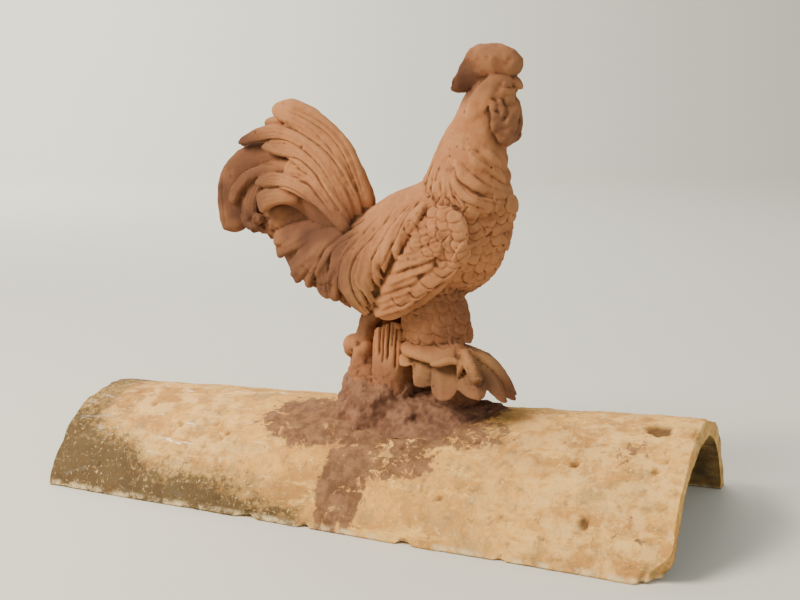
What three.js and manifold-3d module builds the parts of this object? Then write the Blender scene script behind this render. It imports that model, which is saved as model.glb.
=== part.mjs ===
// A terracotta rooster set in red mortar on a tapered barrel ridge tile.
// Millimetres, +Z up, +X along the tile towards its wide end, the way the rooster faces.
// The origin is on the ground under the middle of the tile.
import * as THREE from 'three';
import * as BufferGeometryUtils from 'three/addons/utils/BufferGeometryUtils.js';
import Module from 'manifold-3d';

const wasm = await Module();
wasm.setup();

// Ridge tile
const tileLength = 450;
const wideSpan = 208;
const narrowSpan = 164;
const wideRise = 73;
const narrowRise = 58;
const tileWall = 13;

// Rooster, measured from the tile's crown to the top of the comb
const roosterHeight = 246;
const perchPlace = 35; // how far the perch is from the middle of the tile
const drawnHeight = 246; // the height at which the figure's own points below are written

// Mortar
const bedBehindPerch = 4; // the middle of the bed from the perch, towards the narrow end
const heapBehindPerch = 31;
const bedLength = 118;
const bedWidth = 96;
const bedThickness = 11;
const heapLength = 46;
const heapWidth = 50;
const heapHeight = 26;
const seamGap = 0.3;

const nearSide = -1;
const farSide = 1;
const sides = [nearSide, farSide];

// Solids

function closedSolid(geometry) {
  const bare = geometry.clone();
  bare.deleteAttribute('normal');
  bare.deleteAttribute('uv');
  const welded = BufferGeometryUtils.mergeVertices(bare);
  const mesh = new wasm.Mesh({
    numProp: 3,
    vertProperties: new Float32Array(welded.attributes.position.array),
    triVerts: new Uint32Array(welded.index.array),
  });
  return new wasm.Manifold(mesh);
}

function fused(geometries) {
  return geometries.map(closedSolid).reduce((whole, piece) => whole.add(piece));
}

function geometryOf(solid) {
  const mesh = solid.getMesh();
  const geometry = new THREE.BufferGeometry();
  geometry.setAttribute('position', new THREE.BufferAttribute(mesh.vertProperties, 3));
  geometry.setIndex(new THREE.BufferAttribute(mesh.triVerts, 1));
  geometry.computeVertexNormals();
  return geometry;
}

// A sphere whose rings are moved onto the sections of a form that follows a spine.
// section(share, turn) returns [across, deep, ahead] in the frame of the spine, whose share is 0 at the root.
function swept(spine, deepAxis, section, around, along) {
  const skin = new THREE.SphereGeometry(1, around, along);
  const spots = skin.attributes.position;
  for (let ring = 0; ring <= along; ring++) {
    const share = (1 + Math.cos((Math.PI * ring) / along)) / 2;
    const centre = spine.getPoint(share);
    const forward = spine.getTangent(share);
    const across = forward.clone().cross(deepAxis(share)).normalize();
    const deep = across.clone().cross(forward);
    for (let step = 0; step <= around; step++) {
      const turn = (2 * Math.PI * step) / around;
      const [sideways, outwards, onwards = 0] = section(share, turn);
      const spot = centre.clone().addScaledVector(across, sideways).addScaledVector(deep, outwards);
      spot.addScaledVector(forward, onwards);
      spots.setXYZ(ring * (around + 1) + step, spot.x, spot.y, spot.z);
    }
  }
  return skin;
}

const roundEnds = (share, root, tip) => {
  const fromRoot = root > 0 ? Math.min(1, share / root) : 1;
  const fromTip = tip > 0 ? Math.min(1, (1 - share) / tip) : 1;
  return Math.sqrt(fromRoot * (2 - fromRoot)) * Math.sqrt(fromTip * (2 - fromTip));
};

// Ridge tile

const tileShare = (x) => x / tileLength + 0.5;
const spanAt = (x) => THREE.MathUtils.lerp(narrowSpan, wideSpan, tileShare(x));
const riseAt = (x) => THREE.MathUtils.lerp(narrowRise, wideRise, tileShare(x));
const radiusAt = (x) => (spanAt(x) ** 2 / 4 + riseAt(x) ** 2) / (2 * riseAt(x));
const tileTopAt = (x, y) => riseAt(x) - radiusAt(x) + Math.sqrt(Math.max(0, radiusAt(x) ** 2 - y ** 2));

// The arc's two legs end flat on the ground, so each skin has its own opening angle.
function arcPoint(x, share, radius) {
  const centreHeight = riseAt(x) - radiusAt(x);
  const opening = Math.acos(THREE.MathUtils.clamp(-centreHeight / radius, -1, 1));
  const angle = share * opening;
  return [radius * Math.sin(angle), centreHeight + radius * Math.cos(angle)];
}

function arcSolid(placeAt) {
  const block = new THREE.BoxGeometry(1, 1, 1, lengthSteps, arcSteps, 1);
  const spots = block.attributes.position;
  for (let i = 0; i < spots.count; i++) {
    const x = spots.getX(i) * tileLength;
    const [y, z] = placeAt(x, spots.getY(i) * 2, spots.getZ(i) > 0);
    spots.setXYZ(i, x, y, z);
  }
  return block;
}

const lengthSteps = 3;
const arcSteps = 24;
const tileSkin = () =>
  arcSolid((x, share, outer) => arcPoint(x, share, radiusAt(x) - (outer ? 0 : tileWall)));

// The whole room under the tile's outer face, widened by a gap, for cutting what sits on it.
const tileCutter = (gap) =>
  arcSolid((x, share, outer) =>
    outer ? arcPoint(x, share, radiusAt(x) + gap) : [share * (spanAt(x) / 2 - tileWall), -tileWall]);

function pebble(centre, radii, around, along) {
  const stone = new THREE.SphereGeometry(1, around, along);
  stone.scale(...radii);
  stone.translate(...centre);
  return stone;
}

// Nicks in the lower edges: [place along the tile, side, half length, height]
const nicks = [
  [-58, nearSide, 6, 3],
  [56, nearSide, 5, 3],
  [-148, farSide, 8, 4],
];

function ridgeTile() {
  const nickDepth = 3;
  return nicks.reduce((tile, [x, side, halfLength, height]) => {
    const [y, z] = arcPoint(x, side, radiusAt(x));
    return tile.subtract(closedSolid(pebble([x, y, z], [halfLength, nickDepth, height], 8, 5)));
  }, closedSolid(tileSkin()));
}

// Mortar: a wide bed that follows the tile's crown, and a taller heap at the rear of the rooster

function drapedMound(centreX, length, width, height, around, along, grow) {
  const mound = new THREE.SphereGeometry(1, around, along);
  const spots = mound.attributes.position;
  for (let i = 0; i < spots.count; i++) {
    const lumps = 1 + 0.09 * Math.sin(7 * spots.getX(i) + 4 * spots.getZ(i)) * Math.cos(6 * spots.getZ(i));
    const x = centreX + spots.getX(i) * (length / 2 * lumps + grow);
    const y = spots.getZ(i) * (width / 2 * lumps + grow);
    const rise = spots.getY(i);
    const z = tileTopAt(x, y) + (rise > 0 ? rise * height * lumps + grow : rise * bedThickness);
    spots.setXYZ(i, x, -y, z);
  }
  return mound;
}

function mortarMass(grow) {
  const bed = drapedMound(perchPlace - bedBehindPerch, bedLength, bedWidth, bedThickness, 18, 6, grow);
  const heap = drapedMound(perchPlace - heapBehindPerch, heapLength, heapWidth, heapHeight, 12, 6, grow);
  return fused([bed, heap]);
}

// Rooster. Its points are written at the drawn height, from the perch on the tile's crown, with x towards
// the beak, y away from the viewer's side and z up.

const figureScale = roosterHeight / drawnHeight;
const perch = new THREE.Vector3(perchPlace, 0, riseAt(perchPlace));
const inFigure = ([x, y, z]) => new THREE.Vector3(x, y, z).multiplyScalar(figureScale).add(perch);
const figureCurve = (points) => new THREE.CatmullRomCurve3(points.map(inFigure));
const mirrored = (points, side) => points.map(([x, y, z]) => [x, y * side, z]);
const acrossAxis = new THREE.Vector3(0, 1, 0);

// A round form in the middle plane. Each row is [x, z, half height, half width], from the root to the tip.
function roundForm(rows, y = 0) {
  const spine = figureCurve(rows.map(([x, z]) => [x, y, z]));
  const girth = new THREE.CatmullRomCurve3(rows.map(([, , high, wide]) => new THREE.Vector3(high, wide, 0)));
  const topAxis = (share) => acrossAxis.clone().cross(spine.getTangent(share)).negate();
  return {
    spine,
    topAxis,
    sizeAt: (share) => girth.getPoint(share).multiplyScalar(figureScale),
  };
}

function roundSkin(form, around, along, roundRoot = 0.12, roundTip = 0.12) {
  const section = (share, turn) => {
    const size = form.sizeAt(share);
    const ends = roundEnds(share, roundRoot, roundTip);
    return [-Math.cos(turn) * size.y * ends, Math.sin(turn) * size.x * ends];
  };
  return swept(form.spine, form.topAxis, section, around, along);
}

// A feather or lock: a blade along a curve, with its thickness along faceAxis, and with a narrower root.
function blade(curve, faceAxis, halfWidth, halfThick, options) {
  const { around = 5, along = 5, root = 0.8, roundRoot = 0.1, roundTip = 0.25 } = options ?? {};
  const section = (share, turn) => {
    const swell = root + (1 - root) * Math.sin((Math.PI / 2) * Math.min(1, share / 0.6));
    const ends = roundEnds(share, roundRoot, roundTip) * swell * figureScale;
    return [-Math.cos(turn) * halfWidth * ends, Math.sin(turn) * halfThick * ends];
  };
  return swept(curve, () => faceAxis, section, around, along);
}

const lump = (centre, radii, around, along) =>
  pebble(inFigure(centre).toArray(), radii.map((radius) => radius * figureScale), around, along);

const bodyForm = roundForm([
  [-113, 104, 4, 5],
  [-96, 103, 18, 16],
  [-68, 101, 29, 26],
  [-36, 98, 38, 33],
  [-5, 107, 43, 36],
  [22, 122, 40, 35.5],
  [38, 133, 30, 27],
  [50, 138, 24, 19],
  [60.5, 141, 11, 11],
]);

const neckForm = roundForm([
  [35, 124, 22, 25],
  [32, 136, 29, 31],
  [30, 147, 30, 28],
  [30, 161, 27, 23.5],
  [32.5, 175, 23.5, 19],
  [36, 188, 20, 15],
  [40, 202, 16, 12],
  [45, 214, 13, 10.5],
]);

const combForm = roundForm([
  [18, 217, 3, 4],
  [24, 220, 7, 7],
  [30, 225, 10, 9.5],
  [36, 229.5, 12.5, 11],
  [44, 232.5, 12.5, 11],
  [52, 232, 11, 10.5],
  [58.5, 229, 8.5, 9],
  [63.5, 225, 5, 6],
]);

// The neck is fluted into hackles, which drift forwards as they fall and end in a ragged fringe.
function hackledNeck() {
  const locks = 14;
  const drift = 0.6;
  const lockDepth = 1.5 * figureScale;
  const fringeDrop = 5 * figureScale;
  const section = (share, turn) => {
    const size = neckForm.sizeAt(share);
    const ends = roundEnds(share, 0.1, 0.1);
    const fall = (1 - share) ** 2;
    const drifted = turn + drift * fall * Math.sin(turn - Math.PI / 2);
    const lock = Math.cos(locks * turn) * (1 - share) * lockDepth;
    return [
      -Math.cos(drifted) * (size.y + lock) * ends,
      Math.sin(drifted) * (size.x + lock) * ends,
      -Math.max(0, Math.cos(locks * turn)) * fringeDrop * fall ** 3 * ends,
    ];
  };
  return swept(neckForm.spine, neckForm.topAxis, section, locks * 2, 6);
}

const bodyAndNeck = () => [roundSkin(bodyForm, 16, 10), hackledNeck()];

function head() {
  const skull = lump([46, 0, 215], [14, 11, 12], 8, 6);
  const beakPath = figureCurve([[54, 0, 217], [61, 0, 215.5], [66, 0, 212.5]]);
  const beak = blade(beakPath, acrossAxis, 5, 5, { along: 3, root: 1 });
  const pieces = [skull, beak, roundSkin(combForm, 10, 7)];
  for (const side of sides) {
    pieces.push(lump([52, side * 9.5, 218], [5, 3.5, 3.5], 6, 3));
    pieces.push(lump([48, side * 11, 203], [4.5, 3, 8], 5, 3));
    pieces.push(lump([57, side * 8, 191], [7.5, 5.5, 13], 6, 5));
  }
  return pieces;
}

// A fluted sheet of locks that hangs from a root line, over a middle line, to a tip line. All three are drawn
// from rear to front on the far side. The sheet goes down through the body to its middle.
const figureLine = (points) => new THREE.CatmullRomCurve3(points.map((point) => new THREE.Vector3(...point)));

const pastMiddle = 2;
const innerRise = 3;
const innerReach = 0.75;

function flutedSheet(lines, side, locks, along, lockDepth, scallop) {
  const block = new THREE.BoxGeometry(1, 1, 1, locks * 2, along, 1);
  const spots = block.attributes.position;
  for (let i = 0; i < spots.count; i++) {
    const place = side === farSide ? 0.5 - spots.getX(i) : 0.5 + spots.getX(i);
    const outer = spots.getZ(i) > 0;
    const crest = -Math.cos(2 * Math.PI * locks * place);
    const down = 0.5 - spots.getY(i);
    const reach = down * (outer ? 1 + scallop * crest * down : innerReach);
    const weights = [2 * (reach - 0.5) * (reach - 1), 4 * reach * (1 - reach), 2 * reach * (reach - 0.5)];
    const spot = new THREE.Vector3();
    lines.forEach((line, index) => spot.addScaledVector(line.getPoint(place), weights[index]));
    if (outer) {
      spot.y += crest * lockDepth * Math.min(1, 2 * down);
    } else {
      spot.y = -pastMiddle;
      spot.z += innerRise;
    }
    const placed = inFigure([spot.x, spot.y * side, spot.z]);
    spots.setXYZ(i, placed.x, placed.y, placed.z);
  }
  return block;
}

// Saddle: long locks that fall from the back's ridge over the flank to the belly.
const saddleLines = [
  [[-46, 6, 126], [-33, 7, 132], [-20, 8, 138], [-7, 9, 144], [5, 9, 148]],
  [[-60, 32, 106], [-46, 37, 101], [-30, 39.5, 104], [-15, 40.5, 113], [-1, 40, 126]],
  [[-54, 25, 75], [-41, 29, 68], [-24, 36, 65], [-12, 40, 82], [4, 41, 108]],
].map(figureLine);

const saddle = () => sides.map((side) => flutedSheet(saddleLines, side, 7, 4, 1.8, 0.05));

// Under the tail, blunt feathers hang in a fan with stepped tips.
const fluffLines = [
  [[-76, 7, 130], [-63, 14, 122], [-51, 20, 112], [-41, 26, 102]],
  [[-98, 15, 120], [-89, 21, 105], [-73, 27, 97], [-53, 32, 88]],
  [[-115, 9, 115], [-107, 12, 99], [-92, 16, 85], [-74, 20, 77], [-54, 24, 71]],
].map(figureLine);

const fluff = () => sides.map((side) => flutedSheet(fluffLines, side, 6, 3, 1.8, 0.09));

// Wings: a swollen plate, round coverts on the shoulder and long flight feathers below them.
const wingPlate = [[25, 30, 142], [24, 36, 122], [12, 38, 101], [-6, 37, 82], [-24, 33, 64]];

function wings() {
  const flightFeathers = 4;
  const covertRows = 3;
  const covertsInRow = 3;
  const pieces = [];
  for (const side of sides) {
    const outwards = new THREE.Vector3(0, side, -0.1);
    const plate = { around: 8, along: 6, root: 1, roundRoot: 0.4, roundTip: 0.8 };
    pieces.push(blade(figureCurve(mirrored(wingPlate, side)), outwards, 21, 6, plate));
    for (let feather = 0; feather < flightFeathers; feather++) {
      const high = 1 - feather / (flightFeathers - 1);
      const path = [
        [38 - 20 * high, 37, 92 + 20 * high],
        [12 - 12 * high, 41.5, 78 + 16 * high],
        [-14 - 6 * high, 37, 62 + 14 * high],
      ];
      pieces.push(blade(figureCurve(mirrored(path, side)), outwards, 5.2, 3, { along: 3 }));
    }
    for (let row = 0; row < covertRows; row++) {
      for (let place = 0; place < covertsInRow; place++) {
        const x = 38 - 13 * place - 3 * row;
        const z = 140 - 14 * row - 4 * place;
        const y = Math.min(39, 30 + 5 * (row + place));
        pieces.push(lump([x, side * y, z], [8, 4.5, 7.5], 6, 3));
      }
    }
  }
  return pieces;
}

// Tail: sickles that rise from a core and droop to the rear.
// Each is [half width, half thickness, ...points of its path].
const tailCore = [18, 19, [-42, 0, 104], [-64, 0, 128], [-88, 0, 148], [-110, 0, 153], [-132, 0, 124]];
const sickles = [
  [8.5, 7, [-48, -5, 128], [-53, -7, 156], [-63, -8, 177], [-81, -8, 191], [-98, -8, 198], [-115, -7, 199]],
  [7, 6, [-48, -8, 126], [-59, -13, 152], [-75, -14, 170], [-92, -14, 180], [-131, -13, 177]],
  [6.5, 5, [-48, -12, 122], [-60, -18, 143], [-78, -20, 160], [-94, -20, 169], [-123, -18, 171]],
  [6, 5, [-48, -16, 118], [-61, -22, 136], [-77, -25, 150], [-90, -26, 158], [-102, -25, 161]],
  [6.5, 5.5, [-46, -18, 112], [-58, -25, 130], [-75, -28, 142], [-92, -29, 149], [-122, -26, 146]],
  [6, 5, [-90, -12, 157], [-112, -14, 158], [-130, -14, 152], [-143, -12, 143], [-150, -10, 131]],
  [8, 6, [-84, -14, 138], [-102, -16, 141], [-116, -15, 135], [-124, -12, 126]],
  [6, 4, [-92, -13, 122], [-112, -14, 122], [-124, -12, 116], [-130, -10, 109]],
  [13, 9, [-96, 0, 160], [-120, 0, 166], [-138, 0, 158], [-148, 0, 144], [-149, 0, 127], [-147, 0, 110]],
  [8.5, 7, [-50, 5, 126], [-57, 7, 154], [-69, 8, 173], [-88, 8, 185], [-108, 8, 191], [-131, 7, 189]],
  [7, 6, [-50, 8, 124], [-62, 13, 150], [-80, 14, 168], [-102, 14, 178], [-128, 14, 180], [-149, 12, 174]],
  [6.5, 5, [-50, 12, 120], [-62, 18, 143], [-79, 20, 159], [-96, 20, 167], [-116, 20, 168], [-132, 18, 162]],
  [6, 5, [-50, 16, 116], [-63, 22, 135], [-78, 25, 149], [-92, 26, 156], [-106, 25, 157]],
  [6.5, 5.5, [-48, 18, 110], [-60, 25, 129], [-77, 28, 141], [-98, 29, 147], [-126, 25, 135]],
  [8, 6, [-84, 14, 137], [-102, 16, 139], [-116, 15, 132], [-122, 12, 121]],
  [6, 4, [-92, 12, 122], [-110, 13, 121], [-120, 11, 113], [-124, 10, 106]],
];

function tail() {
  const feather = ([halfWidth, halfThick, ...path], options) =>
    blade(figureCurve(path), acrossAxis, halfWidth, halfThick, options);
  const core = feather(tailCore, { around: 8, along: 7, roundRoot: 0.2 });
  return [core, ...sickles.map((sickle) => feather(sickle, { along: 6, root: 0.6, roundTip: 0.18 }))];
}

// Legs: thick thighs, and toes spread over a clump of leaves. The far leg stands a little behind.
const thighRows = [[4, 92, 18, 18], [10, 76, 23, 18], [15, 62, 25, 16], [16, 48, 19, 14], [20, 38, 12, 11]];
const toes = [
  [5, [20, -12, 46], [37, -10, 43], [49, -9, 33], [56, -9, 22], [58, -9, 10]],
  [3.4, [22, -18, 50], [34, -27, 49], [42, -33, 40], [51, -36, 26]],
  [4.6, [20, 0, 40], [38, 1, 33], [51, 2, 24], [59, 2, 13]],
  [4.4, [10, 14, 34], [26, 15, 29], [38, 16, 22], [47, 17, 11]],
  [3.4, [6, 18, 36], [14, 27, 33], [21, 33, 26], [27, 35, 14]],
];

function legs() {
  const farLegBack = 17;
  const thighs = sides.map((side) => {
    const back = side === farSide ? farLegBack : 0;
    return roundSkin(roundForm(thighRows.map(([x, ...row]) => [x - back, ...row]), side * 14), 10, 5);
  });
  const crown = new THREE.Vector3(0.5, 0, 1);
  const spread = toes.map(([thick, ...path]) => blade(figureCurve(path), crown, thick, thick, { root: 1 }));
  return [...thighs, ...spread];
}

const clumpRows = [[8, 50, 18, 18], [11, 38, 22, 23], [16, 25, 26, 26], [19, 12, 26, 25], [18, -4, 24, 22]];

function clump() {
  const leaves = 9;
  const spread = 270;
  const middle = 18;
  const pieces = [roundSkin(roundForm(clumpRows), 10, 5)];
  for (let leaf = 0; leaf < leaves; leaf++) {
    const angle = THREE.MathUtils.degToRad(spread * (leaf / (leaves - 1) - 0.5));
    const [ahead, aside] = [Math.cos(angle), Math.sin(angle)];
    const low = 12 * Math.max(0, aside);
    const path = [
      [middle + 14 * ahead, 13 * aside, 44 - low],
      [middle + 26 * ahead, 27 * aside, 38 - low],
      [middle + 32 * ahead, 35 * aside, 27 - low],
      [middle + 34 * ahead, 38 * aside, 12 - low / 2 + 4 * (leaf % 2)],
    ];
    const outwards = new THREE.Vector3(ahead, aside, 0.6);
    pieces.push(blade(figureCurve(path), outwards, 10, 4, { along: 4, roundTip: 0.7 }));
  }
  return pieces;
}

// Stump: broken, grooved bark behind the legs, parted by a cleft, with a sawn knot at its rear.
const barkRows = [[-18, -6, 13, 26], [-19, 16, 12, 25], [-20, 38, 10, 22], [-21, 58, 8, 18]];

function stump() {
  const knot = lump([-48, -5, 36], [12, 12, 10], 8, 5);
  const foot = lump([-34, 0, 12], [19, 22, 16], 8, 5);
  const propPath = figureCurve([[-45, 0, 10], [-44, -2, 28], [-41, -2, 46], [-36, -2, 68]]);
  const prop = blade(propPath, acrossAxis, 8, 12, { around: 6, root: 1.2 });
  const bark = roundForm(barkRows);
  const ridges = 8;
  const grooveShare = 0.1;
  const section = (share, turn) => {
    const size = bark.sizeAt(share);
    const ends = roundEnds(share, 0.1, 0.3) * (1 + grooveShare * Math.cos(ridges * turn));
    return [-Math.cos(turn) * size.y * ends, Math.sin(turn) * size.x * ends];
  };
  return [knot, foot, prop, swept(bark.spine, bark.topAxis, section, ridges * 2, 4)];
}

function rooster() {
  const groups = [bodyAndNeck(), head(), saddle(), wings(), tail(), fluff(), legs(), clump(), stump()];
  return fused(groups.flat());
}

// Assembly

const tileSolid = ridgeTile();
const mortarSolid = mortarMass(0).subtract(closedSolid(tileCutter(seamGap)));
const roosterSolid = rooster().subtract(mortarMass(seamGap)).subtract(closedSolid(tileCutter(seamGap)));

const limewash = new THREE.MeshStandardMaterial({ color: 0xc9a87c, roughness: 0.92, metalness: 0 });
const redMortar = new THREE.MeshStandardMaterial({ color: 0x8c5f48, roughness: 0.95, metalness: 0 });
const terracotta = new THREE.MeshStandardMaterial({ color: 0xb27a52, roughness: 0.9, metalness: 0 });

const finial = new THREE.Group();
for (const [name, solid, material] of [
  ['ridge_tile', tileSolid, limewash],
  ['mortar_bed', mortarSolid, redMortar],
  ['rooster', roosterSolid, terracotta],
]) {
  const piece = new THREE.Mesh(geometryOf(solid), material);
  piece.name = name;
  finial.add(piece);
}

export default finial;
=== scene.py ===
# Terracotta rooster in red mortar on a limewashed ridge tile.
import math
import bpy
import numpy as np
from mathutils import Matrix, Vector
from mathutils.bvhtree import BVHTree


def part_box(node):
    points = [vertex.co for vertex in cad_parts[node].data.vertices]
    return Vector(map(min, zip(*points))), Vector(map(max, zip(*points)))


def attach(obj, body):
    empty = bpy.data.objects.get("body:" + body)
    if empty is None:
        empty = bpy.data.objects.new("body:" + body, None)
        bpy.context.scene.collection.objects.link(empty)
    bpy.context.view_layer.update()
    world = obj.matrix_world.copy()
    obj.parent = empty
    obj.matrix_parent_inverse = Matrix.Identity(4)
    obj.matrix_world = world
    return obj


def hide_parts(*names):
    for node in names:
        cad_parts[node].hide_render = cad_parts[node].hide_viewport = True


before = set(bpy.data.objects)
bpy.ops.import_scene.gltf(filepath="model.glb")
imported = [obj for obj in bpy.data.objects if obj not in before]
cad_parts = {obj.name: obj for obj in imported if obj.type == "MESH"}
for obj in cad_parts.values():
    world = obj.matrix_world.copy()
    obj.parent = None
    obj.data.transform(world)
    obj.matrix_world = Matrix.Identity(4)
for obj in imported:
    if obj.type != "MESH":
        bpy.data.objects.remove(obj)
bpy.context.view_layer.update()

mm = 0.001  # every length below is in millimetres until its mesh is made
print("frame loaded")

# Camera, light and floor

view = {
    "azimuth": 22.33,  # degrees round from the tile's near side
    "elevation": 10.44,
    "distance": 894,
    "target": (15.3, 0, 137.6),
    "lens": 58.65,
    "sensor": 36,
}


def lookFrom(azimuth, elevation):
    a, e = math.radians(azimuth), math.radians(elevation)
    return Vector((math.sin(a) * math.cos(e), -math.cos(a) * math.cos(e), math.sin(e)))


def aimed(data, target, azimuth, elevation, distance):
    thing = bpy.data.objects.new(data.name, data)
    back = lookFrom(azimuth, elevation)
    thing.location = (Vector(target) + back * distance) * mm
    thing.rotation_mode = "QUATERNION"
    thing.rotation_quaternion = (-back).to_track_quat("-Z", "Y")
    bpy.context.scene.collection.objects.link(thing)
    return thing


lens = bpy.data.cameras.new("camera")
lens.lens = view["lens"]
lens.sensor_width = view["sensor"]
lens.clip_start = 0.01
camera = aimed(lens, view["target"], view["azimuth"], view["elevation"], view["distance"])
bpy.context.scene.camera = camera

studio = {
    "softboxes": [  # target, azimuth, elevation, distance, size, watts, colour
        ((0, 0, 120), -46, 44, 1500, 650, 38.5, (1.0, 0.93, 0.81)),
        ((0, 0, 120), 64, 20, 1700, 1300, 8, (0.8, 0.92, 1.0)),
        ((0, 0, 120), 200, 52, 1700, 1000, 8, (1.0, 0.98, 0.94)),
        ((-1100, 2700, 500), -30, 30, 1900, 1400, 62, (1.0, 1.0, 0.96)),
    ],
    "sky": (1.0, 0.99, 0.93),
    "skyStrength": 0.37,
    "floorSize": 7000,
    "wallDistance": 2500,
    "wallCurve": 700,
    "curveSteps": 24,
    "wallHeight": 3000,
    "floorColor": (0.76, 0.74, 0.65),
}

for number, (target, azimuth, elevation, distance, size, watts, color) in enumerate(studio["softboxes"]):
    box = bpy.data.lights.new(f"softbox{number}", "AREA")
    box.size, box.energy, box.color = size * mm, watts, color
    aimed(box, target, azimuth, elevation, distance)

sky = bpy.data.worlds.new("sky")
sky.use_nodes = True
backdrop = sky.node_tree.nodes["Background"].inputs
backdrop["Color"].default_value = (*studio["sky"], 1)
backdrop["Strength"].default_value = studio["skyStrength"]
bpy.context.scene.world = sky

# Meshes, curves and noise


def newObject(name, spots, faces):
    mesh = bpy.data.meshes.new(name)
    mesh.from_pydata((np.asarray(spots) * mm).tolist(), [], faces)
    mesh.update()
    thing = bpy.data.objects.new(name, mesh)
    bpy.context.scene.collection.objects.link(thing)
    return thing


def spotsOf(mesh):
    spots = np.empty(len(mesh.vertices) * 3, np.float32)
    mesh.vertices.foreach_get("co", spots)
    return spots.reshape(-1, 3).astype(float) / mm


def setSpots(mesh, spots):
    mesh.vertices.foreach_set("co", (spots * mm).astype(np.float32).ravel())
    mesh.update()


def normalsOf(mesh):
    normals = np.empty(len(mesh.vertices) * 3, np.float32)
    mesh.vertex_normals.foreach_get("vector", normals)
    return normals.reshape(-1, 3).astype(float)


def shadeSmooth(mesh):
    mesh.polygons.foreach_set("use_smooth", [True] * len(mesh.polygons))


def evaluated(thing):
    return bpy.data.meshes.new_from_object(thing.evaluated_get(bpy.context.evaluated_depsgraph_get()))


def applied(thing, kind, **settings):  # runs one modifier and keeps its result as the mesh
    modifier = thing.modifiers.new(kind, kind)
    for key, value in settings.items():
        setattr(modifier, key, value)
    result = evaluated(thing)
    thing.modifiers.clear()
    thing.data = result


def smoothed(mesh, spots, rounds):
    ends = np.empty(len(mesh.edges) * 2, np.int32)
    mesh.edges.foreach_get("vertices", ends)
    a, b = ends[::2], ends[1::2]
    count = len(spots)
    degree = np.maximum(np.bincount(ends, minlength=count), 1)[:, None]
    for _ in range(rounds):
        pull = [np.bincount(a, spots[b, k], count) + np.bincount(b, spots[a, k], count) for k in range(3)]
        spots = np.stack(pull, axis=1) / degree
    return spots


def lumpiness(spots, size, seed):  # smooth noise from -1 to 1, with features about as long as size
    lattice = np.random.default_rng(seed).uniform(-1, 1, (32, 32, 32))
    place = np.asarray(spots) / size
    base = np.floor(place).astype(int)
    part = place - base
    part = part * part * (3 - 2 * part)
    total = np.zeros(place.shape[:-1])
    for corner in np.ndindex(2, 2, 2):
        weight = np.where(corner, part, 1 - part).prod(axis=-1)
        index = (base + corner) % 32
        total += weight * lattice[index[..., 0], index[..., 1], index[..., 2]]
    return total


def lumps(spots, *layers):  # several sizes of noise at once; each layer is strength, size and seed
    return sum(strength * lumpiness(spots, size, seed) for strength, size, seed in layers)


def ramp(value, low, high):
    share = np.clip((value - low) / (high - low), 0, 1)
    return share * share * (3 - 2 * share)


def unit(v):
    return v / np.maximum(np.linalg.norm(v, axis=-1, keepdims=True), 1e-9)


def through(points):  # a smooth curve through the points, read at shares from 0 to 1
    spots = np.array(points, float)
    padded = np.vstack([2 * spots[0] - spots[1], spots, 2 * spots[-1] - spots[-2]])

    def at(share):
        place = np.clip(np.asarray(share, float), 0, 1) * (len(spots) - 1)
        index = np.minimum(place.astype(int), len(spots) - 2)
        w = (place - index)[..., None]
        a, b, c, d = (padded[index + k] for k in range(4))
        gaps = [np.linalg.norm(q - p, axis=-1, keepdims=True) for p, q in ((a, b), (b, c), (c, d))]
        before, during, after = (np.maximum(gap, 1e-3) ** 0.5 for gap in gaps)
        leave = ((b - a) / before - (c - a) / (before + during) + (c - b) / during) * during
        arrive = ((c - b) / during - (d - b) / (during + after) + (d - c) / after) * during
        bend = 2 * (b - c) + leave + arrive
        return b + w * (leave + w * (3 * (c - b) - 2 * leave - arrive + w * bend))

    return at


def closedThrough(points):
    count = len(points)
    line = through([points[-1], *points, points[0], points[1]])
    return lambda share: line((1 + np.asarray(share) * count) / (count + 2))


def roundEnds(share, root, tip):
    fromRoot = np.minimum(1, share / max(root, 1e-6))
    fromTip = np.minimum(1, (1 - share) / max(tip, 1e-6))
    return np.sqrt(fromRoot * (2 - fromRoot)) * np.sqrt(fromTip * (2 - fromTip))


# Swept forms: closed skins, each kept as its spots and its faces


def sweep(spine, faceAxis, section, around=16, along=20):
    share = (1 - np.cos(np.linspace(0, math.pi, along + 1))) / 2
    forward = unit(spine(share + 0.01) - spine(share - 0.01))
    axis = faceAxis(forward) if callable(faceAxis) else np.array(faceAxis, float)
    across = unit(np.cross(forward, axis))
    deep = np.cross(across, forward)
    turn = np.arange(around) * 2 * math.pi / around
    parts = section(share[:, None], turn[None, :])
    spots = spine(share)[:, None] + sum(
        part[..., None] * direction[:, None] for part, direction in zip(parts, (across, deep, forward))
    )
    skin = np.vstack([spots[0].mean(axis=0), spots[1:-1].reshape(-1, 3), spots[-1].mean(axis=0)])
    return skin, shellFaces(around, along - 1)


def shellFaces(around, rings):  # faces between two poles, the first and the last spot of a skin
    pairs = [(k, (k + 1) % around) for k in range(around)]
    faces = [(0, 1 + s, 1 + t) for s, t in pairs]
    for low in range(1, 1 + (rings - 1) * around, around):
        high = low + around
        faces += [(low + s, high + s, high + t, low + t) for s, t in pairs]
    top = 1 + (rings - 1) * around
    return faces + [(top + around, top + t, top + s) for s, t in pairs]


def threeWeights(share):  # how much the first, the middle and the last of three lines count at this share
    return 2 * (share - 0.5) * (share - 1), 4 * share * (1 - share), 2 * share * (share - 0.5)


def topAxis(forward):  # square to a spine in the middle plane
    return -np.cross((0, 1, 0), forward)


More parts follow.
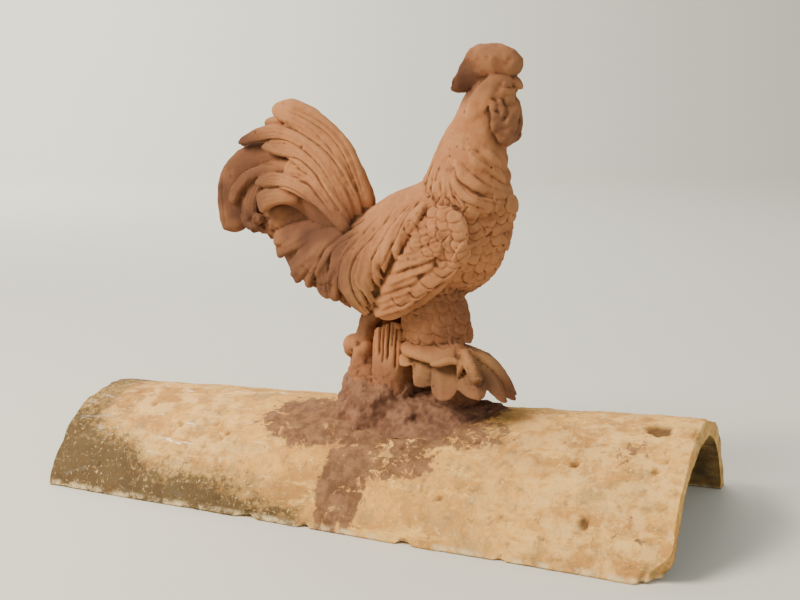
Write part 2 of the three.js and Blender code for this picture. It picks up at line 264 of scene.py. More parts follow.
def roundForm(rows, y=0, around=48, along=40, root=0.12, tip=0.12, relief=None):  # rows: x, z, high, wide
    spine = through([(x, y, z) for x, z, *_ in rows])
    girth = through([(high, wide, 0) for *_, high, wide in rows])

    def section(share, turn):
        size = girth(share) * roundEnds(share, root, tip)[..., None]
        swell = relief(share, turn) if relief else 0
        return np.cos(turn) * (size[..., 1] + swell), np.sin(turn) * (size[..., 0] + swell), 0 * turn * share

    return sweep(spine, topAxis, section, around, along)


def sized(values):  # a number, or numbers spread evenly from the root to the tip
    row = np.atleast_1d(np.array(values, float))
    return lambda share: np.interp(share, np.linspace(0, 1, len(row)), row)


# rib is the place of a double groove across the feather, from -1 to 1; tilt lifts one edge; a low crest
# makes it flat
def feather(path, face, wide, thick, rib=None, tilt=0.0, root=0.1, tip=0.25,
            around=18, along=22, crest=0.7):
    wideAt, thickAt = sized(wide), sized(thick)

    def section(share, turn):
        end = roundEnds(share, root, tip)
        halfWidth = wideAt(share) * end
        height = np.sign(np.sin(turn)) * np.abs(np.sin(turn)) ** crest * thickAt(share) * end
        sideways = np.cos(turn) * halfWidth
        if rib is not None:
            away = np.abs(sideways - rib * halfWidth)
            groove = np.exp(-((away - ribs["gap"]) / ribs["width"]) ** 2) * ribs["depth"]
            height = height * (1 - groove * ramp(share, 0.02, 0.2) * ramp(share, 0.97, 0.8))
        aslant = sideways * np.cos(tilt) - height * np.sin(tilt)
        return aslant, sideways * np.sin(tilt) + height * np.cos(tilt), 0 * turn * share

    return sweep(through(path), face, section, around, along)


ribs = {"gap": 1.0, "width": 0.55, "depth": 0.3}


def ball(centre, radii, around=16, along=12):
    x, y, z = centre
    long, deep, high = radii
    path = [(x - long, y, z), (x + long, y, z)]

    def section(share, turn):
        end = np.sqrt(np.maximum(0, 1 - (2 * share - 1) ** 2))
        return np.cos(turn) * deep * end, np.sin(turn) * high * end, 0 * turn * share

    return sweep(through(path), (0, 0, 1), section, around, along)


def joined(skins):
    spots, faces, start = [], [], 0
    for skin, loops in skins:
        spots.append(skin)
        faces += [tuple(start + corner for corner in loop) for loop in loops]
        start += len(skin)
    return np.vstack(spots), faces


def mirrored(points, side):
    return [(x, y * side, z) for x, y, z in points]


nearSide, farSide = -1, 1
sides = (nearSide, farSide)

# Geometry Nodes


def wire(tree, kind, inputs=None, output=0, **settings):  # adds a node and returns one of its outputs
    node = tree.nodes.new(kind)
    for key, value in settings.items():
        setattr(node, key, value)
    for key, value in (inputs or {}).items():
        if isinstance(value, bpy.types.NodeSocket):
            tree.links.new(value, node.inputs[key])
        else:
            node.inputs[key].default_value = value
    return node.outputs[output]


def calc(tree, operation, a, b=0.0):
    return wire(tree, "ShaderNodeMath", {0: a, 1: b}, operation=operation)


def product(tree, a, *others):
    for b in others:
        a = calc(tree, "MULTIPLY", a, b)
    return a


def treeWith(name, sizes, withMesh=True):  # an empty tree with named inputs, whole numbers or not
    tree = bpy.data.node_groups.new(name, "GeometryNodeTree")
    face = tree.interface
    face.new_socket("Geometry", in_out="OUTPUT", socket_type="NodeSocketGeometry")
    if withMesh:
        face.new_socket("Geometry", in_out="INPUT", socket_type="NodeSocketGeometry")
    for title, value in sizes.items():
        whole = isinstance(value, int)
        face.new_socket(title, in_out="INPUT", socket_type="NodeSocketInt" if whole else "NodeSocketFloat")
    face.new_socket("Material", in_out="INPUT", socket_type="NodeSocketMaterial")
    return tree, tree.nodes.new("NodeGroupInput").outputs


def finishTree(tree, geometry, given):
    made = wire(tree, "GeometryNodeRealizeInstances", {"Geometry": geometry})
    painted = wire(tree, "GeometryNodeSetMaterial", {"Geometry": made, "Material": given["Material"]})
    tree.links.new(painted, tree.nodes.new("NodeGroupOutput").inputs[0])


def grown(thing, tree, sizes, material):  # runs the tree on the object and returns the plain mesh
    modifier = thing.modifiers.new(tree.name, "NODES")
    modifier.node_group = tree
    sockets = {item.name: item.identifier for item in tree.interface.items_tree if item.in_out == "INPUT"}
    for title, value in sizes.items():
        modifier[sockets[title]] = value
    modifier[sockets["Material"]] = material
    mesh = evaluated(thing)
    thing.modifiers.clear()
    return mesh


# Materials


def paint(code):  # a hex colour as the linear value that a shader takes
    parts = [int(code[k:k + 2], 16) / 255 for k in (0, 2, 4)]
    return (*[part / 12.92 if part <= 0.04045 else ((part + 0.055) / 1.055) ** 2.4 for part in parts], 1)


def newMaterial(name, roughness):
    material = bpy.data.materials.new(name)
    material.use_nodes = True
    tree = material.node_tree
    shader = tree.nodes["Principled BSDF"]
    shader.inputs["Roughness"].default_value = roughness
    shader.inputs["Specular IOR Level"].default_value = 0.25
    place = tree.nodes.new("ShaderNodeTexCoord").outputs["Object"]
    return material, tree, shader, place


def cloud(tree, place, size, detail=4.0, rough=0.55, warp=0.0):  # noise whose features are about size mm long
    return wire(tree, "ShaderNodeTexNoise", {
        "Vector": place, "Scale": 1 / (size * mm), "Detail": detail, "Roughness": rough, "Distortion": warp,
    })


def between(tree, value, low, high):
    return wire(tree, "ShaderNodeMapRange", {"Value": value, "From Min": low, "From Max": high},
                interpolation_type="SMOOTHSTEP")


def mixed(tree, share, a, b):
    return wire(tree, "ShaderNodeMix", {0: share, 6: a, 7: b}, output=2, data_type="RGBA")


def coated(tree, ground, *coats):  # each coat is one or more shares to multiply, then its colour
    for *shares, code in coats:
        ground = mixed(tree, product(tree, *shares), ground, paint(code))
    return ground


def attribute(tree, name):
    return wire(tree, "ShaderNodeAttribute", output="Fac", attribute_name=name)


def finished(tree, shader, ground, height, depth):  # the colour, and a bump of this depth in millimetres
    tree.links.new(ground, shader.inputs["Base Color"])
    bump = wire(tree, "ShaderNodeBump", {"Height": height, "Distance": depth * mm, "Strength": 1.0})
    tree.links.new(bump, shader.inputs["Normal"])


def setAttribute(mesh, name, values):
    layer = mesh.attributes.new(name, "FLOAT", "POINT")
    layer.data.foreach_set("value", np.asarray(values, np.float32))


# Floor

half = studio["floorSize"] / 2
wall, curve = studio["wallDistance"], studio["wallCurve"]
profile = [(-half, 0)]
for bend in np.linspace(0, math.pi / 2, studio["curveSteps"]):
    profile.append((wall + curve * math.sin(bend), curve * (1 - math.cos(bend))))
profile.append((wall + curve, studio["wallHeight"]))
turn = math.radians(view["azimuth"])
ahead = np.array((-math.sin(turn), math.cos(turn), 0))
aside = np.array((math.cos(turn), math.sin(turn), 0))
spots = [ahead * depth + aside * end + (0, 0, z) for depth, z in profile for end in (-half, half)]
floor = newObject("floor", spots, [(2 * k, 2 * k + 1, 2 * k + 3, 2 * k + 2) for k in range(len(profile) - 1)])
shadeSmooth(floor.data)
floorPaint, _, floorShader, _ = newMaterial("floorPaint", 0.9)
floorShader.inputs["Base Color"].default_value = (*studio["floorColor"], 1)
floor.data.materials.append(floorPaint)
print("studio ready")

# Ridge tile

tileLow, tileHigh = (np.array(corner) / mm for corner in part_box("ridge_tile"))
tile = {
    "length": tileHigh[0] - tileLow[0],
    "wideSpan": tileHigh[1] - tileLow[1],
    "wideRise": tileHigh[2] - tileLow[2],
    "narrowSpan": 164,
    "narrowRise": 58,
    "wall": 13,
    "alongCells": 250,
    "arcCells": 130,
    "wallCells": 5,
    "pits": [  # place, radius, depth
        ((199.5, -16.8, 70.6), 9.5, 3.2),
        ((155, -56, 54.5), 3.6, 2.6),
        ((169, -86, 28), 4.6, 2.4),
        ((205, -57, 56), 3, 2),
        ((88, -44, 58), 2.6, 1.8),
        ((-92, -52, 42), 2.4, 1.4),
        ((118, 62, 47), 4.5, 2.6),
        ((-140, 40, 50), 3.5, 2),
    ],
    "smallPits": 150,
    "nicks": [  # place along the foot, side, size
        (-58, nearSide, 7), (56, nearSide, 6), (-148, farSide, 9), (-15, nearSide, 4), (120, nearSide, 4),
    ],
    "roundCorner": ((225, -104, 0), 24, 12),  # place, reach, cut
    "stains": [  # red clay washed down from the mortar: centre, radii, strength
        ((31, -6, 62), (56, 50, 30), 1.2),
        ((-30, -34, 58), (46, 36, 20), 0.72),
        ((5, -72, 30), (17, 44, 42), 0.95),
        ((36, -58, 48), (34, 26, 22), 0.6),
        ((80, -34, 60), (34, 24, 16), 0.52),
        ((190, -40, 56), (14, 20, 16), 0.42),
        ((196, -86, 22), (14, 12, 14), 0.4),
        ((30, 45, 55), (50, 45, 26), 0.7),
    ],
}


def tileShare(x):
    return x / tile["length"] + 0.5


def riseAt(x):
    return tile["narrowRise"] + (tile["wideRise"] - tile["narrowRise"]) * tileShare(x)


def spanAt(x):
    return tile["narrowSpan"] + (tile["wideSpan"] - tile["narrowSpan"]) * tileShare(x)


def radiusAt(x):
    return (spanAt(x) ** 2 / 4 + riseAt(x) ** 2) / (2 * riseAt(x))


def crownAt(x, y):
    radius = radiusAt(x)
    return riseAt(x) - radius + np.sqrt(np.maximum(0, radius ** 2 - y ** 2))


tileSizes = {
    "Length": tile["length"] * mm, "Wide Span": tile["wideSpan"] * mm, "Narrow Span": tile["narrowSpan"] * mm,
    "Wide Rise": tile["wideRise"] * mm, "Narrow Rise": tile["narrowRise"] * mm, "Wall": tile["wall"] * mm,
    "Along": tile["alongCells"] + 1, "Around": tile["arcCells"] + 1, "Through": tile["wallCells"] + 1,
}
tileTree, given = treeWith("taperedArch", tileSizes, withMesh=False)
cells = wire(tileTree, "GeometryNodeMeshCube", {  # a unit block, bent into the arch below
    "Size": (1, 1, 1), "Vertices X": given["Along"], "Vertices Y": given["Around"],
    "Vertices Z": given["Through"],
})
axes = tileTree.nodes.new("ShaderNodeSeparateXYZ")
tileTree.links.new(tileTree.nodes.new("GeometryNodeInputPosition").outputs[0], axes.inputs[0])


def arch(operation, a, b=0.0):
    return calc(tileTree, operation, a, b)


along = arch("ADD", axes.outputs[0], 0.5)


def tapered(narrow, wide):
    ends = {"Value": along, "To Min": given[narrow], "To Max": given[wide]}
    return wire(tileTree, "ShaderNodeMapRange", ends)


span, rise = tapered("Narrow Span", "Wide Span"), tapered("Narrow Rise", "Wide Rise")
squares = arch("ADD", arch("MULTIPLY", arch("MULTIPLY", span, span), 0.25), arch("MULTIPLY", rise, rise))
radius = arch("DIVIDE", squares, arch("MULTIPLY", rise, 2.0))
middle = arch("SUBTRACT", rise, radius)
reach = arch("SUBTRACT", radius, arch("MULTIPLY", arch("SUBTRACT", 0.5, axes.outputs[2]), given["Wall"]))
opening = arch("ARCCOSINE", arch("DIVIDE", arch("MULTIPLY", middle, -1.0), reach))
angle = arch("MULTIPLY", arch("MULTIPLY", axes.outputs[1], 2.0), opening)
moved = wire(tileTree, "ShaderNodeCombineXYZ", {
    0: arch("MULTIPLY", axes.outputs[0], given["Length"]),
    1: arch("MULTIPLY", reach, arch("SINE", angle)),
    2: arch("ADD", middle, arch("MULTIPLY", reach, arch("COSINE", angle))),
})
bent = wire(tileTree, "GeometryNodeSetPosition", {"Geometry": cells, "Position": moved})
finishTree(tileTree, bent, given)

limewash, washTree, washShader, washPlace = newMaterial("limewash", 0.93)


def tileFinish():
    tree, place = washTree, washPlace

    def blotches(size, low, high, warp=0.0, at=place):
        return between(tree, cloud(tree, at, size, 8, 0.68, warp), low, high)

    def spread(name, size, share):  # an attribute with a torn edge
        torn = calc(tree, "SUBTRACT", cloud(tree, place, size, 8, 0.72, 0.5), 0.5)
        return calc(tree, "ADD", attribute(tree, name), product(tree, torn, share))

    def along(low, high):
        return between(tree, x, low * mm, high * mm)

    x, _, z = (wire(tree, "ShaderNodeSeparateXYZ", {0: place}, output=k) for k in range(3))
    streaky = wire(tree, "ShaderNodeMapping", {"Vector": place, "Scale": (0.25, 1, 1)})
    ends = calc(tree, "MAXIMUM", along(20, 190), along(-30, -120))
    ground = mixed(tree, blotches(45, 0.38, 0.62), paint("c68b48"), paint("f0b058"))
    ground = coated(
        tree, ground,
        (blotches(12, 0.5, 0.62, 0.0, streaky), 0.9, "fbc46a"),
        (blotches(26, 0.5, 0.64, 0.4), 0.7, "b08e5a"),
        (blotches(8, 0.53, 0.66, 0.6), 0.7, "8f7048"),
        (blotches(5, 0.47, 0.62, 0.3), 0.45, "b3864c"),
        (ends, blotches(14, 0.45, 0.6), 0.7, "fccb7c"),  # more whitewash is left at both ends
        (blotches(4, 0.58, 0.66), 0.7, "f8d088"),
        (along(-40, -110), blotches(7, 0.6, 0.66, 0.8, streaky), 0.9, "fff0d2"),
    )
    # red clay that ran down from the mortar, torn through to the wash
    red = mixed(tree, blotches(9, 0.4, 0.62), paint("644433"), paint("8d6549"))
    holes = calc(tree, "SUBTRACT", 0.92, product(tree, blotches(13, 0.58, 0.62, 0.8), 0.8))
    stained = product(tree, between(tree, spread("stain", 9, 1.5), 0.4, 0.56), holes)
    ground = mixed(tree, stained, ground, red)
    # lichen and soot mixed with painted shade low on the near side and on the back, with flecks of the wash
    # left in them, then a pale foot, crumbs of dirt and the pits
    lichenAndShade = product(tree, calc(tree, "ADD", spread("lichenAndShade", 18, 1.2), spread("lichenAndShade", 4, 1.6)), 0.5)
    ground = coated(
        tree, ground,
        (between(tree, lichenAndShade, 0.1, 0.85), 0.75, "6e5a3a"),
        (between(tree, spread("lichenAndShade", 5, 2.2), 0.5, 0.85), 0.7, "463a2b"),
        (between(tree, attribute(tree, "lichenAndShade"), 0.15, 0.5), blotches(2.6, 0.57, 0.65, 0.5), 0.7, "e0c088"),
        (between(tree, z, 5 * mm, 2 * mm), blotches(10, 0.4, 0.6), 0.8, "ecd09c"),
        (blotches(2.2, 0.66, 0.71), 0.75, "6f4a2e"),
        (attribute(tree, "hollow"), "4e3120"),
        # painted shade and moss over the tile's inner face
        (attribute(tree, "mossAndShade"), "3f3c2b"),
    )
    grain = product(tree, cloud(tree, place, 7, 5, 0.6), 1.6)
    grain = calc(tree, "ADD", cloud(tree, place, 1.6, 6, 0.65), grain)
    finished(tree, washShader, ground, grain, 0.6)


def tilePits():  # the large pits, and small ones scattered over the arch
    pits = list(tile["pits"])
    rng = np.random.default_rng(12)
    for x, arc, size in rng.uniform((-220, -1, 0.8), (220, 1, 2.2), (tile["smallPits"], 3)):
        turn = arc * 0.95 * math.acos(1 - riseAt(x) / radiusAt(x))
        centre = (x, radiusAt(x) * math.sin(turn), riseAt(x) - radiusAt(x) * (1 - math.cos(turn)))
        pits.append((centre, size, size * 0.8))
    return pits


def weatherTile(thing):
    mesh = thing.data
    spots, normals = spotsOf(mesh), normalsOf(mesh)
    x, y, z = spots.T
    outer = np.abs(np.hypot(y, z - riseAt(x) + radiusAt(x)) - radiusAt(x)) < 0.5
    inside = ~outer
    crust = ramp(lumps(spots, (1, 16, 5), (0.6, 6, 6)), -0.1, 0.35)  # patches of thicker limewash
    push = lumps(spots, (0.9, 70, 1), (0.45, 22, 2), (0.3, 7, 3)) + 0.45 * crust
    push += 0.25 * lumpiness(spots, 3.5, 4) - 1.3
    wobble = 1 + 0.35 * lumpiness(spots, 5, 8)
    hollow = np.zeros(len(spots))
    for centre, size, depth in tilePits():
        away = np.linalg.norm(spots - centre, axis=1) / (size * wobble)
        bowl = ramp(away, 1.05, 0.55)
        push -= depth * bowl
        hollow = np.maximum(hollow, bowl * min(1, size / 4))
    spots = spots + normals * push[:, None]
    # worn arrises: the ends and the feet are pulled in where they are thin
    end = tile["length"] / 2
    endWear = ramp(np.abs(x), end - 5, end) * ramp(lumpiness(spots, 18, 14), -0.3, 0.5)
    spots[:, 0] -= np.sign(x) * 2.4 * endWear * outer
    spots[:, 2] -= 1.5 * endWear * outer
    for place, side, size in tile["nicks"]:
        foot = np.array((place, side * spanAt(place) / 2, 0))
        bite = ramp(np.linalg.norm((spots - foot) / (1, 1, 0.7), axis=1) / (size * wobble), 1.1, 0.4)
        spots[:, 2] += bite * 3.5
        spots[:, 1] -= side * bite * 2
    corner, size, depth = tile["roundCorner"]
    worn = depth * ramp(np.linalg.norm(spots - corner, axis=1) / size, 1, 0.1)
    spots += worn[:, None] * (-1, 0.35, 0.2)
    spots = np.clip(spots, tileLow, tileHigh)
    grounded = z < 0.5
    spots[grounded, 2] = np.maximum(0, spots[grounded, 2] * 0.6)
    setSpots(mesh, spots)
    stain = np.zeros(len(spots))
    for centre, radii, strength in tile["stains"]:
        away = np.linalg.norm((spots - centre) / radii, axis=1)
        stain = np.maximum(stain, strength * ramp(away, 1.5, 0.55))
    # lichen grows low on the near side, at the narrow end, along the foot and on the shaded back; the same
    # mask paints shade low on the near side, on the back and inside
    dampAndShade = ramp(z, 56, 4) * ramp(x, 20, -120) * (y < 0) + ramp(x, -160, -222) * 0.7 + ramp(z, 16, 0) * 0.3
    lichenAndShade = np.clip(dampAndShade + ramp(y, 20, 80) * 0.45 + 0.3 * lumpiness(spots, 34, 21), 0, 1)
    innerFace = inside & (np.abs(x) < end - 1) & (z > 0.5)
    setAttribute(mesh, "stain", stain * outer)
    setAttribute(mesh, "lichenAndShade", lichenAndShade * outer + 0.35 * inside)
    setAttribute(mesh, "hollow", np.clip(hollow, 0, 0.85))
    # the inner face is painted dark: shade and moss
    setAttribute(mesh, "mossAndShade", innerFace * np.clip(0.55 + 0.4 * lumpiness(spots, 15, 31), 0, 1))


tileFinish()
seed = newObject("ridgeTile", [(0, 0, 0)], [])
seed.data = grown(seed, tileTree, tileSizes, limewash)
weatherTile(seed)
shadeSmooth(seed.data)
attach(seed, "root")
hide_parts("ridge_tile")
print("ridge tile:", len(seed.data.polygons), "faces")

# Rooster. Its points are in the figure's own millimetres: from the perch on the tile's crown, x towards the
# beak, y away from the viewer's side, z up.

roosterLow, roosterHigh = (np.array(corner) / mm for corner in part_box("rooster"))
figure = {
    "perchPlace": 35,
    "drawnHeight": 246,  # crown of the tile to the top of the comb, as the points below are written
    "topWear": 1.5,  # how much the comb's top loses to wear
    "farThighBack": 12,
    "voxel": 0.62,
    "triangles": 190000,
}
perch = np.array((figure["perchPlace"], 0, riseAt(figure["perchPlace"])))
figureScale = (roosterHigh[2] - perch[2]) / (figure["drawnHeight"] - figure["topWear"])


def bodySkins():
    body = roundForm([
        (-113, 104, 4, 5), (-96, 103, 18, 16), (-68, 101, 29, 26), (-36, 98, 37, 32), (-5, 107, 42, 34.5),
        (22, 122, 39, 34.5), (38, 133, 30, 26), (50, 139, 24, 18), (62, 141, 11, 10),
    ])
    neck = roundForm([
        (35, 124, 22, 25), (32, 136, 28, 30), (30, 147, 29, 27), (30, 161, 26, 22.5), (32.5, 175, 23, 18.5),
        (36, 188, 19.5, 15), (40, 202, 16, 12), (45, 214, 13, 10.5),
    ], root=0.1, tip=0.1)
    return body, neck


bodySkin, neckSkin = bodySkins()


def treeOf(skins):
    spots, faces = joined(skins)
    return BVHTree.FromPolygons([Vector(spot) for spot in spots], faces)


def draped(surface, points, side, lift=0.0):  # lays x, z points on the surface seen from one side
    laid, facing = [], []
    for x, z in points:
        spot, normal, *_ = surface.ray_cast(Vector((x, side * 120, z)), Vector((0, -side, 0)))
        if spot is None:
            spot, normal, *_ = surface.find_nearest(Vector((x, side * 6, z)))
        if normal.y * side < 0:
            normal = -normal
        laid.append(np.array(spot) + np.array(normal) * lift)
        facing.append(np.array(normal))
    return laid, unit(np.mean(facing, axis=0))


def fan(roots, tips, count, bow, points=5):  # paths in x, z from one line to another
    rootLine, tipLine = through(roots), through(tips)
    paths = []
    for place in np.linspace(0, 1, count):
        a, b = rootLine(place), tipLine(place)
        steps = np.linspace(0, 1, points)
        paths.append([tuple(a + (b - a) * s + np.array(bow) * 4 * s * (1 - s)) for s in steps])
    return paths


# Locks that hang from a root line over a middle line to a tip line, all drawn from rear to front


def onLines(lines, place, reach, side):
    spot = sum(np.asarray(w)[..., None] * line(place) for w, line in zip(threeWeights(reach), lines))
    return spot * (1, side, 1)


def underSheet(lines, side, sink, columns=40, rows=20):  # the smooth ground below a row of locks
    place, reach = np.meshgrid(np.linspace(0, 1, columns + 1), np.linspace(0, 0.96, rows + 1), indexing="ij")
    outer = onLines(lines, place, reach, side) - np.array((0, side * sink, 0))
    inner = outer * (1, 0, 1) + (0, -2 * side, 2)
    count = outer.shape[0] * outer.shape[1]
    index = np.arange(count).reshape(outer.shape[:2])
    quads = np.stack([index[:-1, :-1], index[1:, :-1], index[1:, 1:], index[:-1, 1:]], axis=-1).reshape(-1, 4)
    rim = np.concatenate([index[:-1, 0], index[-1, :-1], index[:0:-1, -1], index[0, :0:-1]])
    walls = [(a, b, b + count, a + count) for a, b in zip(rim.tolist(), np.roll(rim, -1).tolist())]
    faces = [tuple(q) for q in quads.tolist()] + [tuple(c + count for c in q[::-1]) for q in quads.tolist()]
    return np.vstack([outer.reshape(-1, 3), inner.reshape(-1, 3)]), faces + walls


def locks(lines, side, count, look, seed):
    rng = np.random.default_rng(seed)
    skins = []
    for number in range(count):
        place = (number + 0.5 + rng.uniform(-0.3, 0.3)) / count
        steps = np.linspace(rng.uniform(*look["start"]), rng.uniform(*look["stop"]), 6)
        drift = np.cumsum(rng.uniform(-1, 1, 6)) * look["wander"] / count
        path = onLines(lines, np.clip(place + drift, 0.01, 0.99), steps, side)
        out = np.interp(steps, (0, 0.3, 1), (0.2, 1, 1)) * (look["lift"] + rng.uniform(-0.4, 0.4))
        path = path + np.outer(out, (0, side, 0))
        widths = np.array(look["shape"]) * look["wide"] * rng.uniform(0.8, 1.25)
        tilt = side * rng.normal(look["tilt"], 0.15)
        skins.append(feather(path, (0, side, 0.12), widths, look["thick"], look["rib"], tilt, 0.15,
                             look["tip"], 16, 22, look["crest"]))
    return skins


saddleLines = [through(line) for line in (
    [(-27, 7, 133), (-20, 8, 138), (-13, 8, 142), (-5, 9, 145.5), (5, 10, 148), (13, 12, 149)],
    [(-48, 35, 98), (-41, 37.5, 99), (-32, 38.5, 102), (-18, 39, 113), (-5, 38, 124), (9.5, 33, 137)],
    [(-31, 32, 64), (-27, 34, 65), (-22, 36, 71), (-17, 38.5, 88), (-9, 39.5, 100), (10, 37.5, 126)],
)]
fluffLines = [through(line) for line in (
    [(-54, 9, 129), (-48, 15, 126), (-43, 20, 122), (-39, 25, 115), (-36, 28, 106)],
    [(-90, 13, 120), (-82, 18, 110), (-72, 23, 103), (-60, 28, 98), (-48, 30, 90)],
    [(-113, 8, 113), (-104, 10, 96), (-91, 14, 83), (-73, 19, 75), (-50, 23, 69)],
)]
saddleLocks = {
    "start": (0.0, 0.12), "stop": (0.9, 1.03), "wander": 0.16, "lift": 0.4,
    "shape": (0.5, 0.85, 1.1, 1.0, 0.7), "wide": 3.0, "thick": (1.2, 2.2, 2.6, 2.2), "rib": None,
    "tilt": 0.28, "tip": 0.35, "crest": 0.75,
}
saddleStrands = {
    **saddleLocks, "start": (0.15, 0.55), "stop": (0.72, 1.03), "wander": 0.6, "lift": 1.9, "wide": 1.3,
    "thick": (1.2, 1.7, 1.5),
}
fluffFeathers = {
    "start": (0.0, 0.06), "stop": (0.95, 1.04), "wander": 0.08, "lift": 0.4,
    "shape": (0.5, 0.9, 1.05, 1.1, 1.05), "wide": 6.0, "thick": (1.6, 2.6, 3.2, 3.2), "rib": 0.1,
    "tilt": 0.42, "tip": 0.08, "crest": 0.6,
}
fluffStrands = {
    **fluffFeathers, "start": (0.2, 0.5), "stop": (0.62, 0.9), "lift": 1.6, "wide": 2.8, "rib": None,
    "tip": 0.3,
}
plumage = [  # lines, how far their ground is sunk, then the count, look and seed of each layer
    (saddleLines, 1.8, (15, saddleLocks, 40), (11, saddleStrands, 50)),
    (fluffLines, 1.4, (7, fluffFeathers, 60), (4, fluffStrands, 70)),
]


def plumageSkins(side):
    skins = []
    for lines, sink, *layers in plumage:
        skins.append(underSheet(lines, side, sink))
        for count, look, seed in layers:
            skins += locks(lines, side, count, look, seed + side)
    return skins


hackles = {
    "lines": (
        [(8, 177), (13, 173), (18, 169), (23, 167), (27, 168)],
        [(2, 164), (8, 159), (14, 156), (20, 155), (27, 156)],
        [(-3, 150), (5, 145), (14, 141), (25, 139), (38, 137)],
    ),
    "rows": ((9, 0.1, 0.05, 0), (5, 1.0, 0.45, 0.12)),  # count, lift, start and how much sooner they end
    "folds": [  # the broad folds that run down to the front, and their half widths
        ([(26, 172), (32, 161), (45, 152), (60, 146)], 4.6),
        ([(33, 181), (41, 169), (53, 160), (61, 156)], 4.4),
        ([(24, 161), (31, 150), (44, 143), (60, 138)], 4.8),
        ([(42, 178), (50, 170), (59, 165)], 3.6),
    ],
}


def hackleSkins(side):
    rng = np.random.default_rng(80 + side)
    surface = treeOf([neckSkin])
    skins = []
    lines = [through(line) for line in hackles["lines"]]
    for count, lift, first, sooner in hackles["rows"]:
        for number in range(count):
            place = (number + 0.5 + rng.uniform(-0.2, 0.2)) / count
            steps = np.linspace(first + rng.uniform(0, 0.2), rng.uniform(0.93, 1.03) - sooner, 6)
            flat = sum(np.outer(weight, line(place)) for weight, line in zip(threeWeights(steps), lines))
            path, face = draped(surface, flat, side, lift)
            wide = np.array((0.5, 0.9, 1.1, 0.9)) * rng.uniform(3.6, 4.8)
            thick = (0.1, 0.7, 1.4, 1.7)
            skins.append(feather(path, face, wide, thick, None, side * 0.3, 0.3, 0.35, 16, 20, 0.8))
    for path, wide in hackles["folds"]:
        laid, face = draped(surface, path, side, -0.5)
        widths = (wide * 0.6, wide, wide, wide * 0.7)
        skins.append(feather(laid, face, widths, 2.4, None, side * 0.25, 0.4, 0.4, 18, 22, 1.0))
    return skins


wing = {
    "plate": [(25, 30, 141), (24, 35, 122), (12, 37, 101), (-6, 36, 82), (-24, 32, 65)],
    "flights": [  # root line, tip line, sag, half width and lift of each fan of six
        ([(26, 115), (20, 104), (10, 96), (6, 89), (2, 84), (1, 79)],
         [(-15, 97), (-19, 89), (-22, 83), (-24, 77), (-26, 71), (-29, 65)], -0.8, 3.6, 0.6),
        ([(22, 128), (26, 122), (27, 116)], [(5, 123), (2, 114), (-10, 102)], -1.5, 2.6, 0.7),
    ],
    "leaves": [  # the rounded feathers below the shoulder, root and tip
        ((42, 118), (35, 100)), ((35, 108), (24, 93)), ((26, 100), (13, 87)), ((16, 91), (3, 80)),
        ((8, 84), (-8, 73)),
    ],
}


def plateSkin(side):
    path = mirrored(wing["plate"], side)
    return feather(path, (0, side, -0.1), 20.5, 5.6, root=0.4, tip=0.8, around=32, along=30)


def wingSkins(side):
    surface = treeOf([bodySkin, plateSkin(side)])
    rng = np.random.default_rng(90 + side)
    skins = [plateSkin(side)]
    for roots, tips, sag, wide, lift in wing["flights"]:
        for path in fan(roots, tips, 6, (0, sag)):
            path = [(x + rng.uniform(-0.8, 0.8), z + rng.uniform(-0.6, 0.6)) for x, z in path]
            laid, face = draped(surface, path, side, lift)
            wide = wide * rng.uniform(0.94, 1.08)
            skins.append(feather(laid, face, wide, 1.4, None, side * 0.5, 0.1, 0.12, 16, 18, 0.5))
    for (x0, z0), (x1, z1) in wing["leaves"]:
        laid, face = draped(surface, [(x0, z0), ((x0 + x1) / 2, (z0 + z1) / 2 + 1), (x1, z1)], side, 0.9)
        skins.append(feather(laid, face, 5.8, 1.2, None, side * 0.15, 0.3, 0.4, 16, 16, 0.5))
    return skins


# Tail: half width along the feather, half thickness, y, rib, then the path in x, z. The far side is plainer.

tailCore = [(-42, 0, 104), (-64, 0, 128), (-88, 0, 146), (-110, 0, 150), (-130, 0, 126)]
recess = [(-46, 0, 108), (-66, 0, 119), (-88, 0, 124), (-108, 0, 122), (-127, 0, 121)]
nearFeathers = {
    "top": ((6, 7.5, 8.4, 9, 9.4, 9.6, 9), 5, -5, None,
            [(-42, 118), (-46, 138), (-52, 154), (-61, 171), (-74, 184), (-92, 195.5), (-114, 200)]),
    "second": ((5.5, 7, 8, 7.6, 7, 6, 4.5), 3.6, -13, None,
               [(-47, 122), (-51, 137), (-60, 154), (-73, 169), (-91, 180), (-112, 183.5), (-139, 176)]),
    "third": ((5, 6.5, 7.4, 7.4, 6.6, 4), 3.4, -18, None,
              [(-50, 122), (-56, 139), (-66, 153), (-80, 165), (-97, 173), (-119, 174)]),
    "blunt": ((3.4, 4.6, 5.6, 7.2, 6.6), 3.2, -22, None,
              [(-49, 124), (-59, 138), (-70, 150), (-84, 158), (-100, 160.5)]),
    "rim": ((4, 4.6, 4.8, 5.2, 5.4, 4.2), 3.2, -25, None,
            [(-48, 118), (-60, 133), (-74, 143), (-92, 150), (-107, 152), (-122, 149)]),
    "lobe": ((4, 6, 8, 8), 3.4, -20, None, [(-86, 139), (-100, 141), (-113, 138), (-120, 133)]),
    "thin": ((3, 3.8, 4.4, 4.6, 4), 3, -12, None,
             [(-104, 158), (-119, 157), (-132, 151), (-141, 142), (-145, 133)]),
    "inner": ((5, 8, 9, 8), 5, -7, None, [(-104, 158), (-123, 149), (-130, 137), (-131, 122)]),
}
